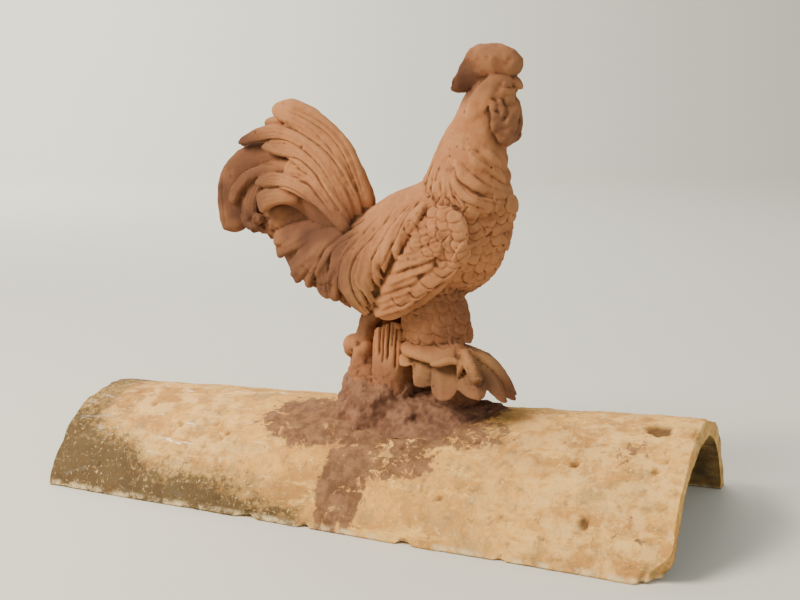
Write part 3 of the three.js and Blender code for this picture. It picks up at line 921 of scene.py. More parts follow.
farFeathers = {
    "top": ((5, 6.5, 7.5, 8.3, 8, 7), 6.5, 6, 0.2,
            [(-44, 122), (-50, 144), (-60, 161), (-75, 174), (-95, 184), (-124, 190)]),
    "second": ((5, 5.5, 6, 6, 5, 4), 5, 13, None,
               [(-50, 122), (-60, 146), (-78, 164), (-100, 176), (-124, 179), (-147, 174)]),
    "third": ((4, 5, 5.6, 5.2, 4), 5, 18, None,
              [(-50, 118), (-62, 141), (-79, 157), (-99, 167), (-131, 163)]),
    "fourth": ((4, 4.6, 5.2, 4.6), 4.5, 23, None, [(-51, 114), (-65, 135), (-82, 151), (-107, 157)]),
    "rim": ((3.4, 3.6, 4.2, 4.4, 4), 4.2, 25, None,
            [(-49, 110), (-62, 130), (-80, 142), (-100, 147), (-126, 136)]),
    "lobe": ((4, 5, 6.5, 5.5), 5, 17, None, [(-84, 136), (-102, 139), (-116, 132), (-122, 121)]),
    "curl": ((4, 4.6, 4, 3.4), 4, 12, None, [(-92, 122), (-110, 121), (-120, 114), (-124, 107)]),
    "filler": ((6, 8, 8, 7), 6, 10, None, [(-96, 152), (-118, 154), (-132, 144), (-136, 124)]),
}
broadSickle = [(-98, 0, 161), (-118, 0, 166), (-136, 0, 161), (-147, 0, 148), (-149, 0, 130), (-146, 0, 112)]
tailCurls = [  # balls of clay where the feathers meet: centre and radii
    ((-122, -12, 124), (4.6, 4, 4.2)), ((-127, -5, 118), (6.5, 7, 5)), ((-120, -3, 115), (7, 7, 4)),
    ((-111, 2, 118), (8, 8, 6)), ((-133, -3, 123), (7, 6, 9)),
]


def tailSkins():
    flat = (0, 1, 0)
    skins = [
        feather(tailCore, flat, 17.5, (15, 19, 17, 13, 10), root=0.2, around=28, along=26),
        feather(recess, flat, (14, 14, 13, 12), (15, 13, 11, 11), root=0.2, around=28, along=26, crest=0.6),
    ]
    for wide, thick, y, rib, path in (*nearFeathers.values(), *farFeathers.values()):
        bulge = [0.5 + 0.5 * math.sin(math.pi * min(0.9, 0.25 + k / len(path))) for k in range(len(path))]
        spread = [(x, y * share, z) for (x, z), share in zip(path, bulge)]
        skins.append(feather(spread, flat, wide, thick, rib, math.copysign(0.42, y), 0.1, 0.14, 28, 36, 0.5))
    wide = (8, 10, 11.5, 11.5, 10.5, 9.5)
    skins.append(feather(broadSickle, flat, wide, 7, -0.45, 0, 0.15, 0.06, 28, 32, 0.5))
    return skins + [ball(centre, radii) for centre, radii in tailCurls]


combRows = [
    (13, 219, 7, 8), (20, 221, 9.5, 9), (26, 224.5, 12.5, 10.5), (32, 228, 14.5, 11.5), (40, 231, 14, 11.5),
    (48, 232, 12.5, 11), (55, 231, 10, 10), (60, 228.5, 8, 9), (64, 226, 5, 6),
]


faceFolds = [  # points in x, z, half width, half thickness and lift
    ([(61, 219), (56, 221), (49, 219.5), (43, 212), (38, 203), (33, 194)],
     (1.2, 3, 5, 6.5, 7, 6), (1.2, 2, 2.2, 1.8, 1.6), 0.1),
    ([(54, 214), (58, 213.2), (61.5, 215)], (1.4, 1.9, 1.4), 1.2, 0.2),
    ([(47, 208), (49.5, 204), (49, 199)], (1.8, 2.8, 2), 1.5, 0.5),
    ([(50, 200), (51.5, 196), (50.5, 191)], (1.8, 2.6, 1.8), 1.5, 0.5),
    ([(53, 208), (55.5, 203), (56, 197)], (1.6, 2.6, 2), 1.4, 0.4),
    ([(51, 197), (54, 191), (57.5, 184), (60, 179)], (4.4, 5.8, 5.8, 3.6), (1.6, 2.2, 2.4, 2), 0.4),
    ([(57, 210), (60, 204), (61, 197), (60.5, 190), (58, 185)],
     (3, 4.8, 5.4, 5, 3.4), (1.6, 2.4, 2.6, 2.2), 0.1),
    ([(54.5, 217), (57, 218), (59.5, 216.5)], (1.2, 1.9, 1.2), 1.4, 0.4),
]


def combRelief(share, turn):
    return 0.8 * np.sin(9 * share + 2 * np.cos(turn)) * np.sin(share * math.pi)


def headSkins():
    flat = (0, 1, 0)
    comb = roundForm(combRows, relief=combRelief)
    beak = feather([(48, 0, 216), (55, 0, 218), (60, 0, 218.5), (65.6, 0, 215)], flat,
                   (9, 7.5, 4.8, 1.0), (10.5, 7.5, 4, 1.0), tip=0.08, crest=0.9)
    jaw = feather([(46, 0, 208), (54, 0, 209), (61, 0, 210.5)], flat, (6, 5, 2.2), (8, 6, 2.4), tip=0.5)
    throat = feather([(48, 0, 210), (52, 0, 198), (53.5, 0, 187), (53, 0, 176)], flat,
                     (9, 10, 9, 6), (11, 12.5, 11.5, 7))
    skull = ball((46, 0, 212), (15, 13, 13.5))
    surface = treeOf([skull, throat, neckSkin, beak])
    skins = [skull, comb, beak, jaw, throat]
    for side in sides:
        for path, wide, thick, lift in faceFolds:
            laid, face = draped(surface, path, side, lift)
            skins.append(feather(laid, face, wide, thick, tip=0.35, around=16, along=26, crest=0.9))
    return skins


thighRows = [(4, 92, 18, 18), (8, 76, 22, 18), (12, 62, 23, 17), (14, 50, 23, 15), (16, 41, 19, 12)]


def thighBack(side):  # the far thigh stands further back
    return figure["farThighBack"] if side == farSide else 0


def thighSkin(side):
    return roundForm([(x - thighBack(side), *row) for x, *row in thighRows], side * 14)


toes = [  # half width, half thickness, points, and 1 where it has rings
    ((6, 6.4, 6.4, 6, 5), 5, [(14, -12, 42), (30, -12, 41), (45, -11, 36), (56, -10, 27), (61, -10, 17)], 0),
    ((3.6, 3.8, 3.4, 2.8), 3.4, [(26, -20, 45), (36, -26, 44), (43, -32, 37), (50, -36, 27)], 1),
    ((5, 5, 5, 4.6), 4.6, [(20, 2, 40), (38, 3, 35), (50, 4, 26), (57, 4, 14)], 0),
    ((4.6, 4.6, 4.4, 4), 4.4, [(10, 14, 36), (26, 15, 31), (40, 16, 24), (50, 17, 12)], 0),
    ((4, 4, 3.6, 3.2), 3.6, [(6, 18, 38), (14, 27, 35), (21, 33, 28), (27, 35, 16)], 1),
]
skirt = {  # leaves that hang round the foot: rings of points at the top, the middle and the tips
    "top": [(-8, -18, 40), (6, -19, 40), (20, -20, 41), (36, -18, 42), (45, -12, 39), (47, -2, 37),
            (45, 8, 35), (34, 18, 37), (20, 22, 39), (2, 24, 40), (-8, 20, 40)],
    "middle": [(-9, -22, 37), (6, -27, 31), (21, -29, 30), (43, -29, 32), (57, -21, 26), (58, -3, 24),
               (54, 11, 23), (42, 24, 25), (25, 29, 27), (4, 30, 29), (-10, 26, 31)],
    "tips": [(-8, -25, 32), (5, -34, 21), (25, -38, 13.5), (51, -39, 17), (66, -27, 13.5), (65, -5, 10),
             (60, 12, 9), (46, 29, 10), (28, 37, 11), (6, 37, 13), (-10, 30, 18)],
    "centre": (16, 0, 0),
    "valley": 0.9,  # how far out the hollow between two tips is
    "valleyRise": 6.5,
    "fold": 3.4,
    "thick": 3.2,
}


def skirtSkin(around=330, along=26):
    top, middle, tips = (closedThrough(skirt[name]) for name in ("top", "middle", "tips"))
    share = np.arange(around) / around
    part = 1 - np.abs(2 * (share * len(skirt["tips"]) % 1) - 1)  # 0 at a tip, 1 between two tips
    centre = np.array(skirt["centre"])
    tip = tips(share)
    valley = centre + (tip - centre) * (skirt["valley"], skirt["valley"], 0)
    valley[:, 2] = tip[:, 2] + skirt["valleyRise"] + 2 * np.sin(9 * share * math.pi)
    edge = tip + (valley - tip) * (0.2 * part + 0.8 * part ** 3)[:, None]
    out = unit((tip - centre) * (1, 1, 0))
    rows, inner = [], []
    for step in np.linspace(0, 1, along + 1):
        a, b, c = threeWeights(step)
        fold = (0.5 - part ** 0.8) * skirt["fold"] * ramp(step, -0.1, 0.7)
        row = top(share) * a + middle(share) * b + edge * c + out * fold[:, None]
        thick = skirt["thick"] * (1 - 0.45 * step)
        rows.append(row)
        inner.append(row - (out + (0, 0, 0.5)) * thick)
    spots = np.stack(rows + inner[::-1])
    low = np.arange(len(spots) * around).reshape(-1, around)
    high = np.roll(low, -1, axis=0)
    quads = np.stack([low, np.roll(low, -1, axis=1), np.roll(high, -1, axis=1), high], axis=-1)
    return spots.reshape(-1, 3), [tuple(quad) for quad in quads.reshape(-1, 4).tolist()]


def footSkins():
    skins = [thighSkin(side) for side in sides]
    for wide, thick, path, ringed in toes:
        skins.append(feather(path, (0.5, 0, 1), wide, thick, None, 0, 0.1, 0.3, 16, 24))
    shank = [(-10, -19, 43), (4, -25, 42.5), (18, -28, 42), (31, -27, 43.5), (42, -20, 43)]
    curl = [(15, -31, 35), (22, -33, 37), (29, -33, 39.5), (35, -32, 38.5), (35.5, -32, 33), (33.5, -32, 28)]
    skins.append(feather(shank, (0, -1, 0.5), (5, 6.5, 7, 6.5, 5), 3.8, along=24, crest=0.7))
    skins.append(feather(curl, (0, -1, 0.2), (0.8, 2, 2.8, 2.6, 2.2, 1.2), 2.4, tip=0.3, along=24, crest=0.8))
    core = roundForm([(8, 52, 15, 14), (12, 38, 15, 15), (17, 25, 15, 15), (20, 12, 16, 15),
                      (20, -6, 20, 18)])
    pocket = ball((-1, 10, 18), (14, 15, 24))  # the ground behind the hollow beside the stump
    return skins + [skirtSkin(), core, pocket]


stump = {
    "trunk": [(-20, -8, 15, 29), (-20, 12, 14.5, 28), (-20.5, 30, 13.5, 26), (-21, 46, 13, 23),
              (-20, 66, 11, 19)],
    "heel": [(-34, -6, 16, 30), (-37, 10, 16, 29), (-41, 24, 13.5, 25), (-44, 36, 11, 17), (-43, 47, 8, 12)],
    "squareness": 0.62,  # rounder at the corners than a box
}


def heelRelief(share, turn):
    return 1.1 * np.sin(3 * turn + 11 * share) + 0.7 * np.sin(5 * turn - 17 * share)


def stumpSkins():
    spine = through([(x, 0, z) for x, z, *_ in stump["trunk"]])
    girth = through([(high, wide, 0) for *_, high, wide in stump["trunk"]])

    def section(share, turn):
        size = girth(share)
        across, deep = (np.sign(f(turn)) * np.abs(f(turn)) ** stump["squareness"] for f in (np.cos, np.sin))
        return across * size[..., 1], deep * size[..., 0], 0 * turn * share

    trunk, faces = sweep(spine, topAxis, section, 96, 40)
    # its broken top rises to the middle and falls to the front
    split = 50 + 0.62 * np.clip(trunk[:, 0] + 34, 0, 16) - 0.5 * np.clip(trunk[:, 0] + 16, 0, 9)
    trunk[:, 2] = np.minimum(trunk[:, 2], split + 1.5 * lumpiness(trunk, 4, 77))
    heel = roundForm(stump["heel"], relief=heelRelief)
    knot = feather([(-42, -5, 37), (-50, -6, 37.5), (-59, -8, 37)], (0, 0, 1), (8, 9, 8), (7.5, 8, 7),
                   root=0.3, tip=0.25)
    cleft = ball((-33, 6, 48), (12, 11, 24))
    prop = feather([(-46, 0, 36), (-43, -2, 46), (-40, -3, 56), (-34, -3, 68)], (0, 1, 0),
                   (8, 7, 6.4, 9), (13, 12, 11, 12))
    return [(trunk, faces), heel, knot, cleft, prop]


barkGrooves = [  # x, lowest and highest z, depth
    (-30.5, 36, 51, 1.3), (-25.7, 38, 57, 2.4), (-22.8, 33, 58, 1.7), (-19.2, 36, 60, 2.6),
    (-16.2, 43, 60, 1.3), (-13.6, 30, 55, 2.2),
]
scored = [  # lines cut into the near side: x, z points, then depth and half width
    ([(27, 165), (30, 158), (38, 152), (46, 148), (58, 144)], 1.2, 0.9),
    ([(36, 176), (44, 170), (52, 164)], 0.7, 0.8),
    ([(41, 160), (49, 154), (58, 149)], 0.8, 0.8),
    ([(46, 163), (53, 157), (61, 151)], 0.6, 0.8),
    ([(10, 157), (11, 149), (15, 143)], 1.2, 0.7),
    ([(17, 157), (20, 147), (22, 142)], 1.4, 0.7),
    ([(25, 157), (29, 148), (36, 139)], 1.4, 0.8),
    ([(33, 190), (32, 180), (36, 171)], 0.4, 1.0),
    ([(18, 158), (21, 149), (30, 141), (40, 136)], 1.2, 0.8),
    ([(24, 158), (29, 150), (38, 143), (48, 139)], 1.0, 0.7),
    ([(31, 156), (38, 150), (47, 145), (57, 141)], 0.7, 0.6),
    ([(22, 176), (19, 166), (20, 158)], 0.4, 0.8),
    ([(44, 171), (52, 164), (60, 158)], 0.5, 0.7),
    ([(43, 112), (35, 106), (27, 108)], 1.1, 0.6),
    ([(36, 102), (27, 96), (19, 101)], 1.1, 0.6),
    ([(28, 93), (18, 88), (11, 93)], 1.1, 0.6),
    ([(17, 86), (8, 81), (3, 86)], 1.1, 0.6),
    ([(5, 79), (-4, 75), (-9, 80)], 1.1, 0.6),
    ([(-98, 198), (-86, 193.5), (-69, 183), (-59, 172), (-51, 157), (-45, 142)], 1.1, 0.5),
    ([(-99, 201), (-85, 196.5), (-67, 186), (-56, 174), (-48, 158), (-43, 142)], 0.9, 0.5),
    ([(-124, 182), (-108, 184), (-92, 180), (-75, 170), (-60, 154), (-51, 139)], 0.6, 0.5),
    ([(-111, 190.5), (-95, 187), (-80, 180), (-67, 171), (-56, 158), (-47, 143)], 1.6, 0.8),
    ([(-124, 175), (-112, 179), (-100, 179), (-85, 173), (-71, 163), (-58, 147)], 1.4, 0.7),
    ([(-99, 167.5), (-88, 167), (-75, 159), (-64, 147), (-54, 134)], 1.8, 0.8),
    ([(-89, 153), (-78, 151), (-68, 143), (-57, 131)], 1.5, 0.8),
    ([(-110, 146), (-94, 148), (-80, 143), (-68, 134)], 1.4, 0.8),
    ([(-152, 160), (-154, 144), (-153, 128), (-152, 114)], 0.7, 0.6),
    ([(-38, 128), (-53, 117), (-64, 107), (-71, 92), (-72, 79)], 1.4, 0.8),
    ([(-40, 120), (-54, 111), (-58, 103), (-61, 90), (-62, 78)], 1.4, 0.8),
    ([(-34, 120), (-45, 109), (-49, 94), (-49, 82), (-44, 73)], 1.6, 0.9),
    ([(5, 145), (0, 137), (-4, 125), (-10, 109), (-14, 101)], 1.4, 0.7),
    ([(-4, 139), (-10, 131), (-15, 121), (-22, 104), (-21, 92)], 1.5, 0.7),
    ([(-14, 137), (-22, 124), (-36, 104), (-38, 91), (-34, 79), (-28, 69)], 1.5, 0.7),
    ([(-24, 133), (-33, 123), (-42, 110), (-48, 96), (-46, 82), (-42, 74), (-31, 64)], 1.2, 0.7),
]


quills = ((-0.55, 0.5), (-0.1, 0.35), (0.3, 0.45), (0.65, 0.35))  # place across a feather and depth


def streaks():  # faint lines along the near tail feathers
    lines = []
    for wide, *_, path in nearFeathers.values():
        spine = through(path)
        share = np.linspace(0.15, 0.92, 7)
        ahead = unit(spine(share + 0.02) - spine(share - 0.02))
        across = np.stack([-ahead[:, 1], ahead[:, 0]], axis=1)
        for place, depth in quills:
            lines.append((spine(share) + across * (place * sized(wide)(share))[:, None], depth, 0.55))
    return lines


def scoredDepth(spots):
    total = np.zeros(len(spots))
    near = np.where(spots[:, 1] < 0)[0]
    steps = 240
    for points, depth, width in scored + streaks():
        line = through(points)(np.linspace(0, 1, steps))
        low, high = line.min(axis=0) - 4, line.max(axis=0) + 4
        flat = spots[near][:, (0, 2)]
        close = near[((flat > low) & (flat < high)).all(axis=1)]
        gaps = np.linalg.norm(spots[close][:, None, (0, 2)] - line[None], axis=2)
        nearest = gaps.argmin(axis=1)
        ends = np.sin(math.pi * np.clip(nearest / (steps - 1), 0.03, 0.97)) ** 0.4
        cut = depth * ends * np.exp(-(gaps.min(axis=1) / width) ** 2)
        total[close] = np.maximum(total[close], cut)
    return total


# Overlapping scales on the breast, the wing's shoulder and the thighs; each is a thin plate set on a point


def plateSizes(length, width, thickness, tilt, jitter, seed):
    return {"Length": length * mm, "Width": width * mm, "Thickness": thickness * mm, "Tilt": tilt,
            "Jitter": jitter, "Seed": seed}


breastSizes = plateSizes(12.5, 10.6, 0.7, -0.05, 0.05, 7)
ringSizes = plateSizes(8.6, 8.6, 1.5, 0.0, 0.08, 3)
scaleTree, given = treeWith("scales", breastSizes)


def namedVector(name):
    return wire(scaleTree, "GeometryNodeInputNamedAttribute", {"Name": name}, data_type="FLOAT_VECTOR")


plateSize = {0: given["Length"], 1: given["Width"], 2: given["Thickness"]}
plateSize = wire(scaleTree, "ShaderNodeCombineXYZ", plateSize)
plate = wire(scaleTree, "GeometryNodeMeshCylinder", {"Vertices": 14, "Radius": 0.5, "Depth": 1.0})
plate = wire(scaleTree, "GeometryNodeTransform", {"Geometry": plate, "Scale": plateSize})
aligned = wire(scaleTree, "FunctionNodeAxesToRotation", {
    "Primary Axis": namedVector("facing"), "Secondary Axis": namedVector("flow"),
}, primary_axis="Z", secondary_axis="X")
twist = wire(scaleTree, "FunctionNodeRandomValue", {
    "Min": (-0.5, -0.5, -0.5), "Max": (0.5, 0.5, 0.5), "Seed": given["Seed"],
}, data_type="FLOAT_VECTOR")
twist = wire(scaleTree, "ShaderNodeVectorMath", {0: twist, "Scale": given["Jitter"]}, operation="SCALE")
twist = wire(scaleTree, "ShaderNodeVectorMath", {
    0: twist, 1: wire(scaleTree, "ShaderNodeCombineXYZ", {1: given["Tilt"]}),
}, operation="ADD")
aligned = wire(scaleTree, "FunctionNodeRotateRotation", {
    "Rotation": aligned, "Rotate By": wire(scaleTree, "FunctionNodeEulerToRotation", {0: twist}),
}, rotation_space="LOCAL")
placed = wire(scaleTree, "GeometryNodeInstanceOnPoints", {
    "Points": given["Geometry"], "Instance": plate, "Rotation": aligned, "Scale": namedVector("size"),
})
finishTree(scaleTree, placed, given)


def scaleMesh(name, spots, facing, flow, size, sizes):
    plan = newObject(name, spots, [])
    for title, values in (("facing", facing), ("flow", flow), ("size", np.repeat(size, 3).reshape(-1, 3))):
        layer = plan.data.attributes.new(title, "FLOAT_VECTOR", "POINT")
        layer.data.foreach_set("vector", np.asarray(values, np.float32).ravel())
    mesh = grown(plan, scaleTree, sizes, None)
    bpy.data.objects.remove(plan)
    plates.append((spots, facing, flow, size, sizes["Length"] / mm, sizes["Width"] / mm))
    return spotsOf(mesh), [tuple(polygon.vertices) for polygon in mesh.polygons]


plates = []
cracks = {"depth": 0.75, "width": 0.55, "reach": 5, "square": 2.7, "lift": 0.5, "near": 9}


def cracked(spots):  # a thin crack round the free tip of each scale; the upper scales cover the lower ones
    depth = np.zeros(len(spots))
    ragged = 1 + 0.13 * lumpiness(spots, 4.5, 141)
    for centres, facing, flow, size, length, width in plates:
        low, high = centres.min(axis=0) - 8, centres.max(axis=0) + 8
        near = np.where(((spots > low) & (spots < high)).all(axis=1))[0]
        local = spots[near]
        here = np.zeros(len(near))
        order = np.argsort(-(centres * flow.mean(axis=0)).sum(axis=1))
        for index in order:
            away = local - centres[index]
            close = np.where((np.abs(away) < cracks["near"]).all(axis=1))[0]
            away = away[close]
            side = np.cross(facing[index], flow[index])
            u, v = away @ flow[index] / (length / 2), away @ side / (width / 2)
            square = cracks["square"]
            radius = (np.abs(u) ** square + np.abs(v) ** square) ** (1 / square)
            radius = radius * ragged[near[close]] / size[index]
            rim = (radius - 1) * width / 2 * size[index]
            flat = np.abs(away @ facing[index]) < cracks["reach"]
            free = flat & (u > -0.45)
            values = here[close]
            covered = flat & (radius < 1)
            values[covered] = -cracks["lift"] * u[covered]
            groove = np.exp(-((rim - 0.25) / cracks["width"]) ** 2) * free
            here[close] = np.maximum(values, groove * cracks["depth"])
        depth[near] = np.where(here == 0, depth[near], here)
    return depth


def ringPoints(surface, middle, heights, turn, step, rng):  # rows of points round an upright axis
    x, y = middle
    rows = []
    for number, z in enumerate(heights):
        angle = (step / 68 if number % 2 else 0) - turn  # every other row starts later
        start = Vector((x, y, z))
        while angle < turn:
            out = Vector((math.cos(angle), math.sin(angle), 0.0))
            spot, normal, *_ = surface.ray_cast(start + out * 130, -out)
            reach = 30
            if spot is not None:
                reach = (spot - start).length
                spot = np.array(spot) + (0, 0, rng.uniform(-1, 1))
                rows.append((spot, np.array(normal if normal.dot(out) > 0 else -normal)))
            angle += step * rng.uniform(0.92, 1.08) / max(reach, 12)
    return rows


def laidFlow(facing, down, rng):  # down along the surface, a little uneven
    flow = unit(down - facing * (facing * down).sum(axis=1)[:, None])
    return unit(flow + np.cross(facing, flow) * rng.normal(0, 0.3, (len(facing), 1)))


def scaleSkins():
    rng = np.random.default_rng(33)
    surface = treeOf([bodySkin, thighSkin(nearSide), thighSkin(farSide)])
    breast = ringPoints(surface, (18, 0), np.arange(88, 141, 6.6), 1.5, 9.2, rng)
    keep = [(s, n) for s, n in breast if s[0] > 30 + 0.12 * (130 - s[2]) or s[2] < 98]
    for side in sides:
        keep += ringPoints(surface, (13 - thighBack(side), side * 14), np.arange(54, 92, 7.2), 3.1, 10, rng)
    spots, facing = (np.array(part) for part in zip(*keep))
    flow = laidFlow(facing, np.array((-0.25, 0, -1.0)), rng)
    wide = rng.uniform(0.78, 1.15, len(spots))
    skins = [scaleMesh("breastScales", spots, facing, flow, wide, breastSizes)]
    return skins + [covertScales(side, rng) for side in sides]


coverts = {
    "edge": [(13, 141), (24, 144), (36, 141), (45, 133), (45, 119), (42, 108), (34, 103), (22, 108), (8, 116),
             (6, 130)],
    "rows": 9,
    "first": (8, 143),
    "along": (7.4, -0.6),
    "down": (-1.6, -5.6),
    "stagger": 3.7,
}


def covertScales(side, rng):
    surface = treeOf([bodySkin, plateSkin(side)])
    spots, facing = [], []
    (x0, z0), (alongX, alongZ), (downX, downZ) = coverts["first"], coverts["along"], coverts["down"]
    for row in range(coverts["rows"]):
        for place in range(coverts["rows"]):
            stagger = coverts["stagger"] if row % 2 else 0
            x = x0 + place * alongX + row * downX + stagger + rng.uniform(-1.1, 1.1)
            z = z0 + row * downZ + place * alongZ + rng.uniform(-1, 1)
            if insideOutline(x, z, coverts["edge"]):
                laid, face = draped(surface, [(x, z)], side, 0.2)
                spots.append(laid[0])
                facing.append(face)
    spots, facing = np.array(spots), np.array(facing)
    flow = laidFlow(facing, np.array((-0.8, 0, -0.6)), rng)
    wide = rng.uniform(0.85, 1.15, len(spots))
    sizes = plateSizes(11.4, 9.2, 0.6, -0.04, 0.04, 11 + side)
    return scaleMesh("covertScales", spots, facing, flow, wide, sizes)


def insideOutline(x, z, outline):
    inside = False
    for (x0, z0), (x1, z1) in zip(outline, outline[1:] + outline[:1]):
        if (z0 > z) != (z1 > z) and x < x0 + (z - z0) / (z1 - z0) * (x1 - x0):
            inside = not inside
    return inside


def ringSkins():  # the rings round the slim toes, with the same tree as the scales
    skins = []
    for wide, thick, path, ringed in toes:
        if ringed:
            line = through(path)
            share = np.linspace(0.35, 0.96, 14)
            forward = unit(line(share + 0.02) - line(share - 0.02))
            upright = np.tile((0.0, 0.0, 1.0), (len(share), 1))
            size = np.linspace(1.08, 0.85, len(share))
            skins.append(scaleMesh("toeRings", line(share), forward, upright, size, ringSizes))
    return skins


terracotta, clayTree, clayShader, clayPlace = newMaterial("terracotta", 0.9)


def clayFinish():
    tree, place = clayTree, clayPlace

    def named(name):
        return attribute(tree, name)

    def blotches(size, detail, rough, low, high, warp=0.0):
        return between(tree, cloud(tree, place, size, detail, rough, warp), low, high)

    # painted shade and dirt in the creases, strongest where the cavity attribute is high
    torn = product(tree, calc(tree, "SUBTRACT", cloud(tree, place, 5, 6, 0.7), 0.5), 0.8)
    creaseShadeAndDirt = between(tree, calc(tree, "ADD", named("cavity"), torn), 0.05, 1.1)
    ground = mixed(tree, blotches(40, 5, 0.6, 0.36, 0.64), paint("9a5f3a"), paint("ac7147"))
    ground = coated(
        tree, ground,
        (blotches(11, 6, 0.65, 0.5, 0.7, 0.3), 0.5, "b87f53"),
        (named("ochre"), 0.6, "ad8250"),
        (between(tree, named("cavity"), 0.0, -0.9), 0.3, "c28e5f"),  # worn edges
        (named("redness"), 0.6, "7d4e38"),
        # painted shade mixed with grime, over the zones listed further down
        (named("shadeAndGrime"), "573728"),
        (creaseShadeAndDirt, 0.85, "54351f"),
        (blotches(2.0, 3, 0.6, 0.7, 0.75), 0.6, "6a432e"),
    )
    grain = product(tree, cloud(tree, place, 4, 4, 0.6), 1.5)
    grain = calc(tree, "ADD", cloud(tree, place, 1.1, 5, 0.65), grain)
    finished(tree, clayShader, ground, grain, 0.32)


def nearBlobs(spots, blobs):
    share = np.zeros(len(spots))
    for centre, radii, *strength in blobs:
        away = np.linalg.norm((spots - centre) / radii, axis=1)
        share = np.maximum(share, ramp(away, 1.2, 0.55) * (strength[0] if strength else 1))
    return share


# Places that the finish and the wear treat apart: centre, radii and sometimes a strength

reddened = [((-75, 0, 128), (34, 90, 20)), ((-122, 0, 116), (14, 60, 12)), ((-36, 0, 12), (36, 90, 30)),
            ((20, 0, 220), (12, 14, 16)), ((55, 0, 192), (9, 14, 14)), ((-140, 0, 178), (14, 20, 10))]
roughened = [((-42, 0, 10), (28, 60, 22)), ((-45, 0, 20), (16, 60, 16)), ((-24, 0, 8), (22, 60, 24)),
             ((-121, -4, 117), (16, 60, 11)), ((10, 0, 2), (40, 70, 12))]
knobbly = [((-46, 0, 42), (13, 60, 24)), ((22, 0, 226), (9, 60, 14)), ((42, 0, 234), (30, 60, 14)),
            ((-106, 0, 86), (18, 60, 14))]
softened = [((40, 0, 234), (30, 60, 12)), ((24, 0, 180), (34, 60, 24))]
wattled = [((56, 0, 195), (11, 30, 18))]
# painted shade mixed with grime: darker on the tail, the fluff, the recess, the comb, the wattles, the thigh,
# the foot and the stump
shadeAndGrimeZones = [
    ((-143, 0, 146), (46, 90, 58), 0.78), ((-72, 0, 95), (58, 99, 44), 0.74),
    ((34, 0, 18), (56, 130, 22), 0.62), ((-140, 0, 178), (24, 60, 13), 0.5),
    ((24, 0, 222), (20, 60, 18), 0.8), ((56, 0, 193), (13, 60, 20), 0.6), ((20, 0, 62), (32, 90, 26), 0.5),
    ((44, 0, 227), (32, 60, 20), 0.45), ((-44, 0, 56), (14, 60, 14), 0.6), ((-76, 0, 122), (34, 90, 18), 0.3),
]
yellowed = [((30, -10, 30), (44, 40, 20)), ((-30, -20, 84), (16, 30, 18))]
faint = [((12, 0, 66), (36, 60, 26), 0.45)]
clayPits = [  # holes on the near side: x, z and radius
    (34, 183, 1.1), (36, 176, 1.2), (22, 172, 1.3), (30, 200, 1), (50, 165, 1.3), (27, 178, 1),
    (-124, 184, 1.2), (-86, 175, 1.5), (10, 146, 1.5), (18, 145, 1.4), (-22, 75, 1.2), (30, 66, 1),
]


brokenComb = {"through": (27, 0, 231), "out": (-1.0, 0.0, 0.52), "above": 214, "ahead": 5}


def clayHoles(mesh, spots):  # the holes above, and more scattered over the rest
    surface = BVHTree.FromPolygons([Vector(s) for s in spots], [tuple(p.vertices) for p in mesh.polygons])
    holes = []
    for x, z, size in clayPits:
        spot, *_ = surface.ray_cast(Vector((x, -120, z)), Vector((0, 1, 0)))
        if spot is not None:
            holes.append((np.array(spot), size))
    rng = np.random.default_rng(104)
    for index in rng.integers(0, len(spots), 70):
        if spots[index, 0] < 10 or spots[index, 2] < 130:
            holes.append((spots[index], rng.uniform(0.7, 1.3)))
    return holes


def carve(thing):
    mesh = thing.data
    spots = smoothed(mesh, spotsOf(mesh), 1)
    worn = np.maximum(0.55 * nearBlobs(spots, softened), 0.12)[:, None]
    spots = spots * (1 - worn) + smoothed(mesh, spots, 8) * worn
    setSpots(mesh, spots)
    normals = normalsOf(mesh)
    push = lumps(spots, (0.55, 11, 101), (0.3, 4.5, 102), (0.16, 2, 103))
    for centre, size in clayHoles(mesh, spots):
        away = np.linalg.norm(spots - centre, axis=1) / size
        push -= size * 0.7 * ramp(away, 1.1, 0.3)
    push -= cracked(spots) * (1 - nearBlobs(spots, faint)) + scoredDepth(spots)
    x, y, z = spots.T
    for place, low, high, depth in barkGrooves:
        line = place + 1.1 * lumpiness(np.stack([0 * x, np.sign(y) * 9, z], axis=1), 9, 121) + 0.012 * y
        groove = np.exp(-((x - line) / 0.75) ** 2) * ramp(z, low - 3, low + 2) * ramp(z, high + 2, high - 2)
        push -= depth * groove * (np.abs(y) > 7)
    push += nearBlobs(spots, roughened) * (lumps(spots, (1.0, 5, 122), (1.1, 2.3, 123)) - 0.4)
    push += nearBlobs(spots, knobbly) * lumps(spots, (0.7, 7, 126), (0.5, 3, 127))
    push += nearBlobs(spots, wattled) * (lumps(spots, (0.9, 5, 124), (0.7, 2.6, 125)) - 0.2)
    spots = spots + normals * push[:, None]
    # the comb's rear is broken off along a slanting plane
    out = unit(np.array(brokenComb["out"]))
    past = (spots - brokenComb["through"]) @ out + lumps(spots, (0.9, 5, 105), (0.4, 2.2, 106))
    broken = (past > 0) & (spots[:, 2] > brokenComb["above"]) & (spots[:, 0] > brokenComb["ahead"])
    spots[broken] -= past[broken, None] * out
    return spots


